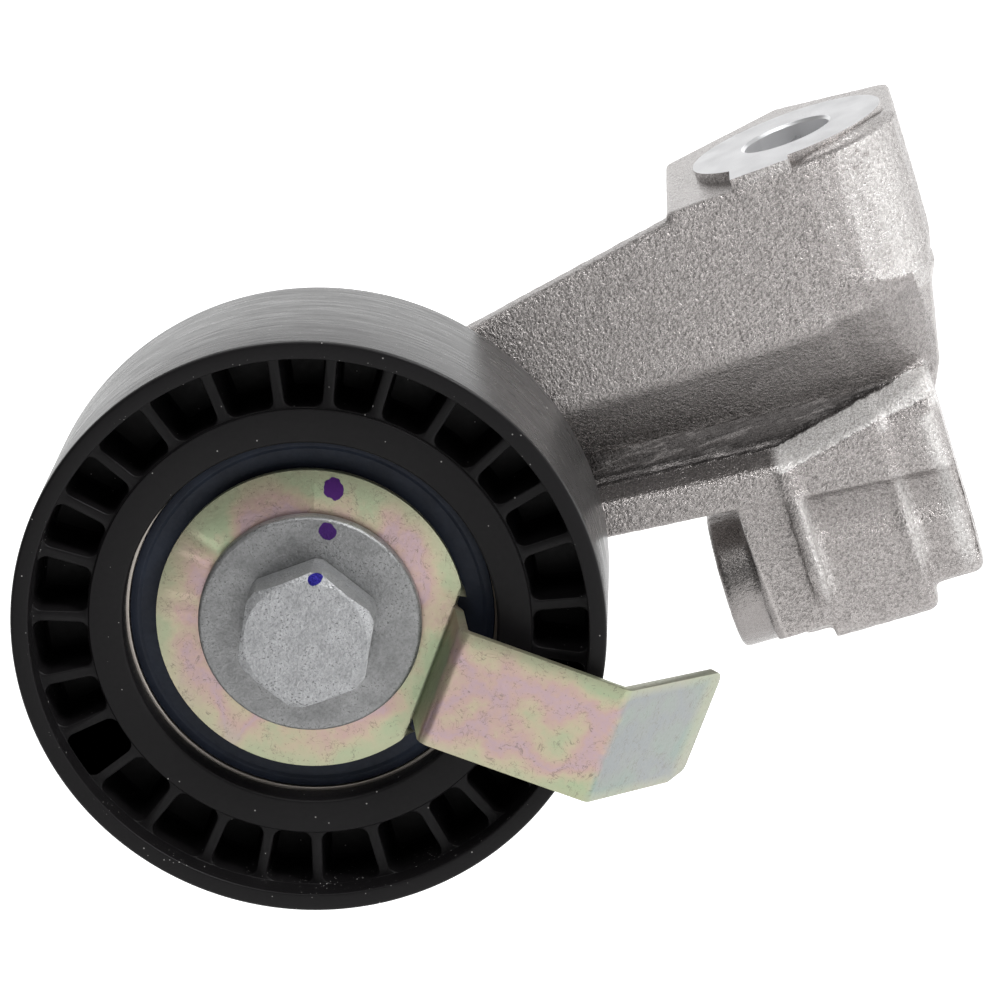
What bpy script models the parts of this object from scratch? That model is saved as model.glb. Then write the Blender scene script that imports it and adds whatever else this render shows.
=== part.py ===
"""Belt tensioner idler: a ribbed plastic pulley on a ball bearing, bolted to a cast bracket.

Frame: the origin is the centre of the bracket's top mounting face, on the axis of its bolt
hole.  +Z runs up out of that hole, +X runs away from the pulley along the arm, and the
pulley turns about an axis along Y with its bolt head towards -Y.  All lengths are metres.
"""

from math import acos, atan2, cos, pi, radians, sin, sqrt, tan

import bmesh
import bpy
from mathutils import Matrix, Vector

MM = 0.001
PART_NAME = "belt_tensioner_idler"

# ---- Fits and mesh fineness -------------------------------------------------------------
SEAT_GAP = 0.3 * MM            # left between pieces that touch
MERGE = 0.01 * MM
OVERSHOOT = 2.0 * MM           # how far a cutter runs past the face it opens
WHEEL_STEPS = 54               # two for each rib
RING_STEPS = 36
BORE_STEPS = 24
BALL_STEPS = 14
ARM_SPANS = 3                  # straight stretches in the arm's loft
SPHERE_STEPS = 12
FILLET_STEPS = 4

# ---- Pulley axis and wheel --------------------------------------------------------------
PULLEY_X = -70.5 * MM
PULLEY_Z = -27.0 * MM
WHEEL_FRONT_Y = -45.0 * MM
WHEEL_WIDTH = 27.0 * MM
WHEEL_RADIUS = 35.0 * MM
RIM_WALL = 2.2 * MM
RIM_CHAMFER = 0.4 * MM
RIM_BAND = 7.8 * MM            # from the outside to the hub, across the pockets
HUB_SETBACK = 1.4 * MM         # hub face behind the rim's edge
HUB_LIP = 1.8 * MM             # how far the hub laps over the outer ring
WEB_THICKNESS = 3.4 * MM
RIB_SETBACK = 0.5 * MM
RIB_THICKNESS = 1.3 * MM
RIB_FIRST_ANGLE = radians(-12.8)
RIB_WIDE_PITCH = radians(14.4)
RIB_PITCHES = "wnnwwnnwwwnnwwnnwwnnwwnnwwn"
POCKET_FILLET = 0.9 * MM

# ---- Ball bearing -----------------------------------------------------------------------
BEARING_BORE = 17.0 * MM
BEARING_OUTSIDE = 47.0 * MM
BEARING_WIDTH = 14.0 * MM
BALL_DIAMETER = 8.73 * MM
BALL_COUNT = 7
PITCH_DIAMETER = 32.0 * MM
SHOULDER_RISE = 1.565 * MM      # how far the balls reach past each ring's shoulder
RING_CHAMFER = 0.6 * MM
SEAL_SEAT_WALL = 2.3 * MM
SEAL_SETBACK = 0.25 * MM
SEAL_THICKNESS = 0.9 * MM
CAGE_SHEET = 0.6 * MM
CAGE_DEPTH = 3.2 * MM          # radial width of the cage's ribbon

# ---- Clamped stack in front of the bearing ----------------------------------------------
PLATE_THICKNESS = 1.5 * MM
PLATE_RADIUS = 18.3 * MM
WASHER_RADIUS = 13.2 * MM
WASHER_THICKNESS = 1.8 * MM
WASHER_CHAMFER = 0.25 * MM
BOLT_DIAMETER = 10.0 * MM
BOLT_LENGTH = 44.0 * MM
HEAD_ACROSS_FLATS = 15.0 * MM
HEAD_HEIGHT = 6.2 * MM
HEAD_CORNER_RADIUS = 8.3 * MM
HEAD_FACE_MARGIN = 0.4 * MM     # the head's round face stops this far inside its flats
HEAD_CHAMFER_ANGLE = radians(30)
SHANK_CHAMFER = 0.8 * MM

# ---- Guard tab --------------------------------------------------------------------------
TAB_ANGLE = radians(-41.0)
TAB_WIDTH = 14.7 * MM
TAB_RISE = 7.6 * MM            # joggle from the plate to the tab
TAB_STEP_RADIUS = 15.9 * MM
TAB_FOLD_RADIUS = 37.2 * MM
TAB_END_LENGTH = 22.8 * MM
TAB_END_ANGLE = radians(59.0)
TAB_STEP_RUN = 1.0 * MM
TAB_ROOT = 3.0 * MM            # tab's overlap with the plate behind the step
TAB_BEND_RADIUS = 1.0 * MM
TAB_CORNER_LENGTH = 3.2 * MM
TAB_CORNER_WIDTH = 1.35 * MM
NOTCH_WIDTH = 1.6 * MM
NOTCH_DEPTH = 1.9 * MM

# ---- Bracket: arm and hub ---------------------------------------------------------------
FRONT_Y = -14.5 * MM           # front face of the arm and the column
WALL = 4.0 * MM
WEB_SETBACK = 7.0 * MM         # groove depth behind the front face
FLANGE_DEPTH = 14.0 * MM
EDGE_ROUND = 0.6 * MM
BEND_ROUND = 1.2 * MM
RIDGE_ROUND = 2.4 * MM
ARM_HUB_OVERLAP = 5.0 * MM     # arm's start, from the pulley's axis
ARM_END_X = -2.5 * MM
ARM_ROOT_X = -16.5 * MM        # where the arm's heights and slopes are stated
ARM_TOP_Z = -2.3 * MM
ARM_TOP_SLOPE = 0.151
RIDGE_Z = -21.55 * MM          # lower edge of the front wall, at its lowest
RIDGE_X = -3.0 * MM
RIDGE_SAG = 4.3 * MM           # rise of that edge at the hub
WEB_TOP_Z = -30.1 * MM
WEB_TOP_SLOPE = -0.118
FLANGE_TOP_Z = -35.3 * MM
FLANGE_TOP_SLOPE = -0.132
FLANGE_BOTTOM_Z = -40.0 * MM
FLANGE_BOTTOM_SLOPE = -0.138
HUB_BOSS_RADIUS = 16.4 * MM
HUB_BOSS_BACK = 17.5 * MM      # hub boss length behind the front face
HUB_BOSS_PROUD = 0.6 * MM
HUB_BOSS_ROUND = 1.5 * MM
HUB_SEAT_RADIUS = 12.6 * MM
HUB_SEAT_FILLET = 1.0 * MM
ARM_RIB_Z = -14.0 * MM
ARM_RIB_DEPTH = 9.0 * MM
ARM_RIB_THICKNESS = 3.4 * MM
ARM_RIB_DRAFT = 0.3 * MM

# ---- Bracket: boss column and pad -------------------------------------------------------
PAD_RADIUS = 12.2 * MM
PAD_HEIGHT = 1.3 * MM
PAD_LUG_X = -3.9 * MM
PAD_LUG_WIDTH = 7.4 * MM
PAD_LUG_PROUD = 0.1 * MM
PAD_CHAMFER = 0.25 * MM
PAD_STEPS = 44
BOLT_HOLE_RADIUS = 5.5 * MM
BOLT_HOLE_CHAMFER = 0.4 * MM
BOLT_HOLE_DEPTH = 36.0 * MM
DRILL_POINT_ANGLE = radians(31)
COLUMN_PEAK_X = -1.2 * MM      # where the column's back comes to a blunt point
COLUMN_LEFT_DROP = 10.0 * MM   # left and right back corners, in front of that point
COLUMN_RIGHT_DROP = 9.0 * MM
COLUMN_LEFT_ROUND = 0.8 * MM
COLUMN_BACK_ROUND = 2.0 * MM
COLUMN_LENGTH = 36.0 * MM
# Height, left, right, back and front right corner's radius, from the pad down
COLUMN_SECTIONS = (
    (-PAD_HEIGHT, -16.3 * MM, 13.6 * MM, 24.6 * MM, 12.0 * MM),
    (-5.0 * MM, -16.6 * MM, 13.4 * MM, 24.4 * MM, 12.5 * MM),
    (-12.0 * MM, -17.2 * MM, 13.0 * MM, 24.0 * MM, 12.5 * MM),
    (-16.7 * MM, -15.0 * MM, 12.7 * MM, 20.0 * MM, 12.4 * MM),
    (-17.6 * MM, -13.5 * MM, 12.4 * MM, 19.0 * MM, 11.4 * MM),
)
# Setback, left, right, back and corner radius where the arm's ridge and web cross the column
RIDGE_SECTION = (0.3 * MM, -12.6 * MM, 11.3 * MM, 15.5 * MM, 10.4 * MM)
WEB_SECTION = (WEB_SETBACK + 0.1 * MM, -12.2 * MM, 8.3 * MM, 13.5 * MM, 5.0 * MM)
LOWEST_SECTION = (WEB_SETBACK, -12.0 * MM, 6.6 * MM, 12.5 * MM, 4.0 * MM)
DRAPE_LIFT = 0.5 * MM

# ---- Bracket: foot, tilted a little about Y ---------------------------------------------
FOOT_X = -4.0 * MM
FOOT_Z = -45.0 * MM
FOOT_TILT = radians(3.5)
FOOT_LEFT = -10.4 * MM         # along the tilted axis, from the foot's centre
FOOT_STEP = 3.2 * MM
FOOT_RIGHT = 9.9 * MM
FOOT_ROUND = 1.2 * MM          # rounding of each panel's right end
FOOT_LAP = 3.0 * MM            # right panel's overlap with the left one
FOOT_BACK_Y = 5.0 * MM
FOOT_TOP_RISE = 1.7 * MM       # rise of the sloping top between the brow and the web
FOOT_CREASE_SETBACK = 0.9 * MM
FOOT_HEEL_SETBACK = 3.0 * MM
FOOT_HEEL_ROUND = 2.5 * MM
# Setback, brow, crease and bottom heights at each end of a panel, and its brow's rounding
LEFT_PANEL = ((0.0, 7.9 * MM, 4.2 * MM, -16.1 * MM, 0.6 * MM),
              (0.0, 11.2 * MM, 3.3 * MM, -16.1 * MM, 0.8 * MM))
RIGHT_PANEL = ((0.6 * MM, 10.3 * MM, 3.2 * MM, -13.1 * MM, 0.6 * MM),
               (0.9 * MM, 12.9 * MM, 2.3 * MM, -13.1 * MM, 4.5 * MM))
HEEL_PANEL = ((1.8 * MM, 1.0 * MM, -3.0 * MM, -15.2 * MM, 0.6 * MM),
              (4.0 * MM, 1.0 * MM, -3.0 * MM, -15.8 * MM, 0.6 * MM))
HEEL_LENGTH = 3.4 * MM         # how far that panel reaches left of the foot
EAR_LENGTH = 7.0 * MM
EAR_BACK_Y = -6.0 * MM
EAR_TOP = 4.5 * MM
EAR_BOTTOM = -13.8 * MM
EAR_LEAN = 1.9 * MM
EDGE_RIB_WIDTH = 2.0 * MM
EDGE_RIB_OUTSET = 0.9 * MM     # rib's left side, past the left panel's end
EDGE_RIB_PROUD = 0.6 * MM
EDGE_RIB_TOP = 8.1 * MM
EDGE_RIB_BOTTOM = -11.5 * MM
FOOT_BORE_RADIUS = 4.5 * MM
FOOT_BOSS_RADIUS = 8.9 * MM
FOOT_BOSS_ROUND = 0.5 * MM
FOOT_BOSS_Y = -3.0 * MM
FOOT_BOSS_Z = -6.8 * MM
FOOT_BOSS_END = -22.1 * MM

# ---- Worked out from the above ----------------------------------------------------------
WHEEL_BACK_Y = WHEEL_FRONT_Y + WHEEL_WIDTH
WHEEL_MID_Y = WHEEL_FRONT_Y + WHEEL_WIDTH / 2
BEARING_FRONT_Y = WHEEL_MID_Y - BEARING_WIDTH / 2
BEARING_BACK_Y = WHEEL_MID_Y + BEARING_WIDTH / 2
BALL_RADIUS = BALL_DIAMETER / 2
PITCH_RADIUS = PITCH_DIAMETER / 2
INNER_SHOULDER_RADIUS = PITCH_RADIUS - BALL_RADIUS + SHOULDER_RISE
OUTER_SHOULDER_RADIUS = PITCH_RADIUS + BALL_RADIUS - SHOULDER_RISE
SEAL_SEAT_RADIUS = BEARING_OUTSIDE / 2 - SEAL_SEAT_WALL
HUB_RADIUS = WHEEL_RADIUS - RIM_BAND
HUB_LIP_RADIUS = BEARING_OUTSIDE / 2 - HUB_LIP
PLATE_BACK_Y = BEARING_FRONT_Y - SEAT_GAP
PLATE_FRONT_Y = PLATE_BACK_Y - PLATE_THICKNESS
WASHER_BACK_Y = PLATE_FRONT_Y - SEAT_GAP
WASHER_FRONT_Y = WASHER_BACK_Y - WASHER_THICKNESS
HEAD_BACK_Y = WASHER_FRONT_Y - SEAT_GAP
HEAD_FRONT_Y = HEAD_BACK_Y - HEAD_HEIGHT
SEAT_Y = BEARING_BACK_Y + SEAT_GAP
BOLT_RADIUS = BOLT_DIAMETER / 2
BOLT_CLEARANCE_RADIUS = BOLT_RADIUS + SEAT_GAP
ARM_START_X = PULLEY_X + ARM_HUB_OVERLAP
WEB_Y = FRONT_Y + WEB_SETBACK


# ---- Scene and materials ----------------------------------------------------------------

def clear_scene():
    for item in list(bpy.data.objects):
        bpy.data.objects.remove(item, do_unlink=True)


def new_collection(name):
    collection = bpy.data.collections.new(name)
    bpy.context.scene.collection.children.link(collection)
    return collection


def new_material(name, colour, roughness, metallic):
    material = bpy.data.materials.new(name)
    material.use_nodes = True
    shader = material.node_tree.nodes["Principled BSDF"]
    shader.inputs["Base Color"].default_value = (*colour, 1.0)
    shader.inputs["Roughness"].default_value = roughness
    shader.inputs["Metallic"].default_value = metallic
    material.diffuse_color = (*colour, 1.0)
    return material


clear_scene()
PARTS = new_collection(PART_NAME)
CUTTERS = new_collection("cutters")

CAST_ALUMINIUM = new_material("cast_aluminium", (0.42, 0.40, 0.38), 0.55, 1.0)
BLACK_NYLON = new_material("black_nylon", (0.02, 0.02, 0.022), 0.45, 0.0)
BEARING_STEEL = new_material("bearing_steel", (0.62, 0.62, 0.64), 0.22, 1.0)
CAGE_STEEL = new_material("cage_steel", (0.55, 0.54, 0.52), 0.38, 1.0)
SEAL_RUBBER = new_material("seal_rubber", (0.012, 0.018, 0.04), 0.5, 0.0)
YELLOW_ZINC = new_material("yellow_zinc", (0.66, 0.60, 0.40), 0.3, 1.0)
GREY_ZINC_FLAKE = new_material("grey_zinc_flake", (0.42, 0.44, 0.44), 0.5, 0.8)
TURNED_STEEL = new_material("turned_steel", (0.5, 0.5, 0.52), 0.35, 1.0)


# ---- Modelling helpers ------------------------------------------------------------------

def add_object(name, mesh, material, collection):
    item = bpy.data.objects.new(name, mesh)
    mesh.materials.clear()
    mesh.materials.append(material)
    collection.objects.link(item)
    return item


def as_cutter(item):
    """Turn an object into a shape that only Boolean modifiers use."""
    for collection in list(item.users_collection):
        collection.objects.unlink(item)
    CUTTERS.objects.link(item)
    item.hide_render = True
    item.display_type = "WIRE"
    return item


ROBUST = "MANIFOLD"            # for long chains, which the exact solver leaves open


def boolean(target, tool, operation, solver="EXACT"):
    modifier = target.modifiers.new(f"{operation.lower()} {tool.name}", "BOOLEAN")
    modifier.operation = operation
    modifier.solver = solver
    modifier.object = as_cutter(tool)


def bevel(item, width, segments=2, angle=radians(40)):
    modifier = item.modifiers.new("rounded edges", "BEVEL")
    modifier.width = width
    modifier.segments = segments
    modifier.limit_method = "ANGLE"
    modifier.angle_limit = angle
    return modifier


def shade(item, angle=radians(35)):
    item.data.shade_smooth()
    item.data.set_sharp_from_angle(angle=angle)


def rounded(corners, steps=FILLET_STEPS):
    """Outline through (u, v, radius) corners, each turned by an arc of its own radius."""
    outline = []
    count = len(corners)
    for index, (u, v, radius) in enumerate(corners):
        corner = Vector((u, v))
        if radius <= 0:
            outline.append(corner)
            continue
        before = (Vector(corners[index - 1][:2]) - corner).normalized()
        after = (Vector(corners[(index + 1) % count][:2]) - corner).normalized()
        half = acos(max(-1.0, min(1.0, before.dot(after)))) / 2
        centre = corner + (before + after).normalized() * (radius / sin(half))
        start = corner + before * (radius / tan(half)) - centre
        turn = (pi - 2 * half) * (1 if before.cross(after) < 0 else -1)
        for step in range(steps + 1):
            outline.append(centre + Matrix.Rotation(turn * step / steps, 2) @ start)
    return outline


PLANES = {
    "XY": Matrix.Identity(4),
    "XZ": Matrix.Rotation(pi / 2, 4, "X"),
    "YZ": Matrix.Rotation(pi / 2, 4, "Z") @ Matrix.Rotation(pi / 2, 4, "X"),
}
DEPTH_SIGN = {"XY": 1, "XZ": -1, "YZ": 1}


def flat_solid(name, outlines, plane, low, high, material, frame=Matrix.Identity(4)):
    """Solid of one or more flat outlines, between two values of the axis across them."""
    curve = bpy.data.curves.new(name, "CURVE")
    curve.dimensions = "2D"
    curve.fill_mode = "BOTH"
    curve.extrude = (high - low) / 2
    for outline in outlines:
        spline = curve.splines.new("POLY")
        spline.points.add(len(outline) - 1)
        for point, (u, v) in zip(spline.points, outline):
            point.co = (u, v, 0.0, 1.0)
        spline.use_cyclic_u = True
    guide = bpy.data.objects.new(name, curve)
    PARTS.objects.link(guide)
    middle = Vector((0, 0, DEPTH_SIGN[plane] * (low + high) / 2))
    guide.matrix_world = frame @ PLANES[plane] @ Matrix.Translation(middle)
    return curve_to_mesh(guide, name, material)


def curve_to_mesh(guide, name, material):
    """Welded mesh copy of a curve object, which it replaces."""
    bpy.context.view_layer.update()
    evaluated = guide.evaluated_get(bpy.context.evaluated_depsgraph_get())
    mesh = bpy.data.meshes.new_from_object(evaluated)
    place = guide.matrix_world.copy()
    bpy.data.objects.remove(guide, do_unlink=True)
    shape = bmesh.new()
    shape.from_mesh(mesh)
    bmesh.ops.remove_doubles(shape, verts=shape.verts, dist=MERGE / 10)
    bmesh.ops.recalc_face_normals(shape, faces=shape.faces)
    shape.to_mesh(mesh)
    shape.free()
    item = add_object(name, mesh, material, PARTS)
    item.matrix_world = place
    return item


def lofted(name, sections, material, frame=Matrix.Identity(4)):
    """Solid through outlines with as many points each, given as lists of 3-D points."""
    shape = bmesh.new()
    rings = [[shape.verts.new(point) for point in section] for section in sections]
    for lower, upper in zip(rings, rings[1:]):
        for index in range(len(lower)):
            following = (index + 1) % len(lower)
            shape.faces.new((lower[index], lower[following], upper[following], upper[index]))
    shape.faces.new(rings[0])
    shape.faces.new(rings[-1])
    bmesh.ops.recalc_face_normals(shape, faces=shape.faces)
    bmesh.ops.triangulate(shape, faces=shape.faces)
    mesh = bpy.data.meshes.new(name)
    shape.to_mesh(mesh)
    shape.free()
    item = add_object(name, mesh, material, PARTS)
    item.matrix_world = frame
    return item


def pulley_place(y=0.0):
    """Frame whose Z axis runs along the pulley's axis, towards the bracket."""
    return Matrix.Translation((PULLEY_X, y, PULLEY_Z)) @ Matrix.Rotation(-pi / 2, 4, "X")


def turned(name, profile, material, steps=RING_STEPS, place=None):
    """Solid of revolution: (radius, height) points, outer side first and from the top down."""
    shape = bmesh.new()
    points = [shape.verts.new((radius, 0.0, height)) for radius, height in profile]
    for first, second in zip(points, points[1:]):
        shape.edges.new((first, second))
    if profile[0][0] > 0 and profile[-1][0] > 0:
        shape.edges.new((points[-1], points[0]))
    mesh = bpy.data.meshes.new(name)
    shape.to_mesh(mesh)
    shape.free()
    item = add_object(name, mesh, material, PARTS)
    screw = item.modifiers.new("turned", "SCREW")
    screw.angle = 2 * pi
    screw.steps = steps
    screw.render_steps = steps
    screw.use_merge_vertices = True
    screw.merge_threshold = MERGE
    item.matrix_world = pulley_place() if place is None else place
    return item


def ring_profile(inner, outer, low, high, chamfer=0.0):
    """Square ring section with all four corners chamfered."""
    if chamfer <= 0:
        return [(outer, high), (outer, low), (inner, low), (inner, high)]
    return [
        (outer - chamfer, high), (outer, high - chamfer),
        (outer, low + chamfer), (outer - chamfer, low),
        (inner + chamfer, low), (inner, low + chamfer),
        (inner, high - chamfer), (inner + chamfer, high),
    ]


def groove_arc(radius_sign, half_width, steps):
    """Raceway points about the ball circle, from high to low."""
    reach = BALL_RADIUS + SEAT_GAP
    limit = atan2(half_width, sqrt(reach ** 2 - half_width ** 2))
    for step in range(steps + 1):
        angle = limit - 2 * limit * step / steps
        height = WHEEL_MID_Y + reach * sin(angle)
        yield PITCH_RADIUS + radius_sign * reach * cos(angle), height


# ---- Pulley wheel -----------------------------------------------------------------------

def rib_angles():
    narrow_count = RIB_PITCHES.count("n")
    wide_total = RIB_WIDE_PITCH * RIB_PITCHES.count("w")
    pitch = {"w": RIB_WIDE_PITCH, "n": (2 * pi - wide_total) / narrow_count}
    angle = RIB_FIRST_ANGLE
    for step in RIB_PITCHES:
        yield angle, angle + pitch[step]
        angle += pitch[step]


def pocket_outline(start, end):
    """Pocket between two ribs: parallel to each rib, round at the hub and the rim."""
    inner = HUB_RADIUS
    outer = WHEEL_RADIUS - RIM_WALL
    half = RIB_THICKNESS / 2

    def beside_rib(radius, angle, side):
        along = sqrt(radius ** 2 - half ** 2)
        return Vector((cos(angle) * along - side * sin(angle) * half,
                       sin(angle) * along + side * cos(angle) * half))

    corners = [
        (*beside_rib(inner, start, 1), POCKET_FILLET),
        (*beside_rib(outer, start, 1), POCKET_FILLET),
        (cos((start + end) / 2) * outer, sin((start + end) / 2) * outer, 0),
        (*beside_rib(outer, end, -1), POCKET_FILLET),
        (*beside_rib(inner, end, -1), POCKET_FILLET),
        (cos((start + end) / 2) * inner, sin((start + end) / 2) * inner, 0),
    ]
    return rounded(corners, 2)


def build_wheel():
    """Moulded wheel: rim, ribbed pockets on both sides of a web, hub over the bearing."""
    bore = BEARING_OUTSIDE / 2 + SEAT_GAP
    front = WHEEL_FRONT_Y
    back = WHEEL_BACK_Y
    rim_inside = WHEEL_RADIUS - RIM_WALL
    profile = [
        (WHEEL_RADIUS - RIM_CHAMFER, back), (WHEEL_RADIUS, back - RIM_CHAMFER),
        (WHEEL_RADIUS, front + RIM_CHAMFER), (WHEEL_RADIUS - RIM_CHAMFER, front),
        (rim_inside + RIM_CHAMFER, front), (rim_inside, front + RIB_SETBACK),
        (HUB_RADIUS, front + RIB_SETBACK), (HUB_RADIUS, front + HUB_SETBACK),
        (HUB_LIP_RADIUS + RIM_CHAMFER, front + HUB_SETBACK),
        (HUB_LIP_RADIUS, front + HUB_SETBACK + RIM_CHAMFER),
        (HUB_LIP_RADIUS, BEARING_FRONT_Y - SEAT_GAP), (bore, BEARING_FRONT_Y - SEAT_GAP),
        (bore, BEARING_BACK_Y + SEAT_GAP), (HUB_LIP_RADIUS, BEARING_BACK_Y + SEAT_GAP),
        (HUB_LIP_RADIUS, back - HUB_SETBACK - RIM_CHAMFER),
        (HUB_LIP_RADIUS + RIM_CHAMFER, back - HUB_SETBACK),
        (HUB_RADIUS, back - HUB_SETBACK), (HUB_RADIUS, back - RIB_SETBACK),
        (rim_inside, back - RIB_SETBACK), (rim_inside + RIM_CHAMFER, back),
    ]
    wheel = turned("pulley_wheel", profile, BLACK_NYLON, WHEEL_STEPS)
    outlines = [pocket_outline(start, end) for start, end in rib_angles()]
    centre = Matrix.Translation((PULLEY_X, 0, PULLEY_Z))
    web_front = WHEEL_MID_Y - WEB_THICKNESS / 2
    web_back = WHEEL_MID_Y + WEB_THICKNESS / 2
    front_pockets = flat_solid("front_pockets", outlines, "XZ", front - OVERSHOOT, web_front,
                               BLACK_NYLON, centre)
    back_pockets = flat_solid("back_pockets", outlines, "XZ", web_back, back + OVERSHOOT,
                              BLACK_NYLON, centre)
    boolean(wheel, front_pockets, "DIFFERENCE")
    boolean(wheel, back_pockets, "DIFFERENCE")
    shade(wheel)


# ---- Ball bearing -----------------------------------------------------------------------

def build_outer_ring():
    outside = BEARING_OUTSIDE / 2
    front = BEARING_FRONT_Y
    back = BEARING_BACK_Y
    seat = SEAL_SETBACK + SEAL_THICKNESS + SEAT_GAP
    reach = BALL_RADIUS + SEAT_GAP
    half_width = sqrt(reach ** 2 - (OUTER_SHOULDER_RADIUS - PITCH_RADIUS) ** 2)
    profile = [
        (outside - RING_CHAMFER, back), (outside, back - RING_CHAMFER),
        (outside, front + RING_CHAMFER), (outside - RING_CHAMFER, front),
        (SEAL_SEAT_RADIUS, front), (SEAL_SEAT_RADIUS, front + seat),
        (OUTER_SHOULDER_RADIUS, front + seat),
    ]
    profile += reversed(list(groove_arc(1, half_width, 4)))
    profile += [
        (OUTER_SHOULDER_RADIUS, back - seat), (SEAL_SEAT_RADIUS, back - seat),
        (SEAL_SEAT_RADIUS, back),
    ]
    shade(turned("bearing_outer_ring", profile, BEARING_STEEL))


def build_inner_ring():
    bore = BEARING_BORE / 2
    front = BEARING_FRONT_Y
    back = BEARING_BACK_Y
    reach = BALL_RADIUS + SEAT_GAP
    half_width = sqrt(reach ** 2 - (PITCH_RADIUS - INNER_SHOULDER_RADIUS) ** 2)
    profile = [(INNER_SHOULDER_RADIUS, back)]
    profile += list(groove_arc(-1, half_width, 4))
    profile += [
        (INNER_SHOULDER_RADIUS, front), (bore + RING_CHAMFER, front),
        (bore, front + RING_CHAMFER), (bore, back - RING_CHAMFER), (bore + RING_CHAMFER, back),
    ]
    shade(turned("bearing_inner_ring", profile, BEARING_STEEL))


def build_seal(name, outer_face_y, inward):
    """Lip seal in the outer ring's seat; inward is +1 towards the bracket or -1."""
    inner = INNER_SHOULDER_RADIUS + SEAT_GAP
    outer = SEAL_SEAT_RADIUS - SEAT_GAP
    near = outer_face_y + inward * SEAL_SETBACK
    far = near + inward * SEAL_THICKNESS
    low, high = sorted((near, far))
    shade(turned(name, ring_profile(inner, outer, low, high), SEAL_RUBBER))


def ball_centres():
    for index in range(BALL_COUNT):
        angle = 2 * pi * index / BALL_COUNT + pi / 2
        yield Vector((PULLEY_X + PITCH_RADIUS * cos(angle), WHEEL_MID_Y,
                      PULLEY_Z + PITCH_RADIUS * sin(angle)))


def build_balls():
    shape = bmesh.new()
    bmesh.ops.create_uvsphere(shape, u_segments=BALL_STEPS, v_segments=BALL_STEPS // 2,
                              radius=BALL_RADIUS)
    mesh = bpy.data.meshes.new("ball")
    shape.to_mesh(mesh)
    shape.free()
    for number, centre in enumerate(ball_centres(), start=1):
        ball = add_object(f"ball_{number}", mesh, BEARING_STEEL, PARTS)
        ball.location = centre
        shade(ball)


def sphere_group(name, radius):
    """One sphere at each ball's place, as a single shape for a Boolean."""
    shape = bmesh.new()
    for centre in ball_centres():
        bmesh.ops.create_uvsphere(shape, u_segments=SPHERE_STEPS, v_segments=SPHERE_STEPS // 2,
                                  radius=radius, matrix=Matrix.Translation(centre))
    mesh = bpy.data.meshes.new(name)
    shape.to_mesh(mesh)
    shape.free()
    return add_object(name, mesh, CAGE_STEEL, PARTS)


def build_cage_half(name, side):
    """Pressed ribbon with a cup round each ball; side is -1 in front, +1 behind."""
    inner = PITCH_RADIUS - CAGE_DEPTH / 2
    outer = PITCH_RADIUS + CAGE_DEPTH / 2
    pocket = (BALL_RADIUS + SEAT_GAP) / cos(pi / SPHERE_STEPS)
    cup = pocket + CAGE_SHEET
    near = WHEEL_MID_Y + side * SEAT_GAP / 2
    low, high = sorted((near - side * OVERSHOOT, near + side * CAGE_SHEET))
    sheet = ring_profile(inner - OVERSHOOT, outer + OVERSHOOT, low, high)
    cage = turned(name, sheet, CAGE_STEEL)
    boolean(cage, sphere_group(name + "_cups", cup), "UNION")
    low, high = sorted((near, near + side * (cup + OVERSHOOT)))
    band = turned(name + "_band", ring_profile(inner, outer, low, high), CAGE_STEEL)
    boolean(cage, band, "INTERSECT")
    boolean(cage, sphere_group(name + "_pockets", pocket), "DIFFERENCE")
    shade(cage)


# ---- Clamped stack ----------------------------------------------------------------------

def build_sleeve():
    """Bush that centres the bearing's bore on the bolt."""
    outer = BEARING_BORE / 2 - SEAT_GAP
    inner = BOLT_CLEARANCE_RADIUS
    profile = ring_profile(inner, outer, BEARING_FRONT_Y, BEARING_BACK_Y)
    shade(turned("spacer_sleeve", profile, TURNED_STEEL))


def build_washer():
    profile = ring_profile(BOLT_CLEARANCE_RADIUS, WASHER_RADIUS, WASHER_FRONT_Y, WASHER_BACK_Y,
                           WASHER_CHAMFER)
    shade(turned("bolt_washer", profile, GREY_ZINC_FLAKE))


def build_bolt():
    """Hexagon-head bolt with the corners of its head turned away."""
    across_corners = HEAD_ACROSS_FLATS / 2 / cos(pi / 6)
    hexagon = []
    for index in range(6):
        angle = index * pi / 3
        hexagon.append(Vector((across_corners * cos(angle), across_corners * sin(angle))))
    centre = Matrix.Translation((PULLEY_X, 0, PULLEY_Z))
    head = flat_solid("pulley_bolt", [hexagon], "XZ", HEAD_FRONT_Y, HEAD_BACK_Y,
                      GREY_ZINC_FLAKE, centre)
    face_radius = HEAD_ACROSS_FLATS / 2 - HEAD_FACE_MARGIN
    corner_drop = (HEAD_CORNER_RADIUS - face_radius) * tan(HEAD_CHAMFER_ANGLE)
    turning = turned("head_turning", [
        (0, HEAD_BACK_Y + OVERSHOOT), (HEAD_CORNER_RADIUS, HEAD_BACK_Y + OVERSHOOT),
        (HEAD_CORNER_RADIUS, HEAD_FRONT_Y + corner_drop), (face_radius, HEAD_FRONT_Y),
        (0, HEAD_FRONT_Y),
    ], GREY_ZINC_FLAKE)
    boolean(head, turning, "INTERSECT")
    shank_end = HEAD_BACK_Y + BOLT_LENGTH
    shank = turned("bolt_shank", [
        (0, shank_end), (BOLT_RADIUS - SHANK_CHAMFER, shank_end),
        (BOLT_RADIUS, shank_end - SHANK_CHAMFER), (BOLT_RADIUS, HEAD_BACK_Y - SEAT_GAP),
        (0, HEAD_BACK_Y - SEAT_GAP),
    ], GREY_ZINC_FLAKE, BORE_STEPS)
    boolean(head, shank, "UNION")
    shade(head)


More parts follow.
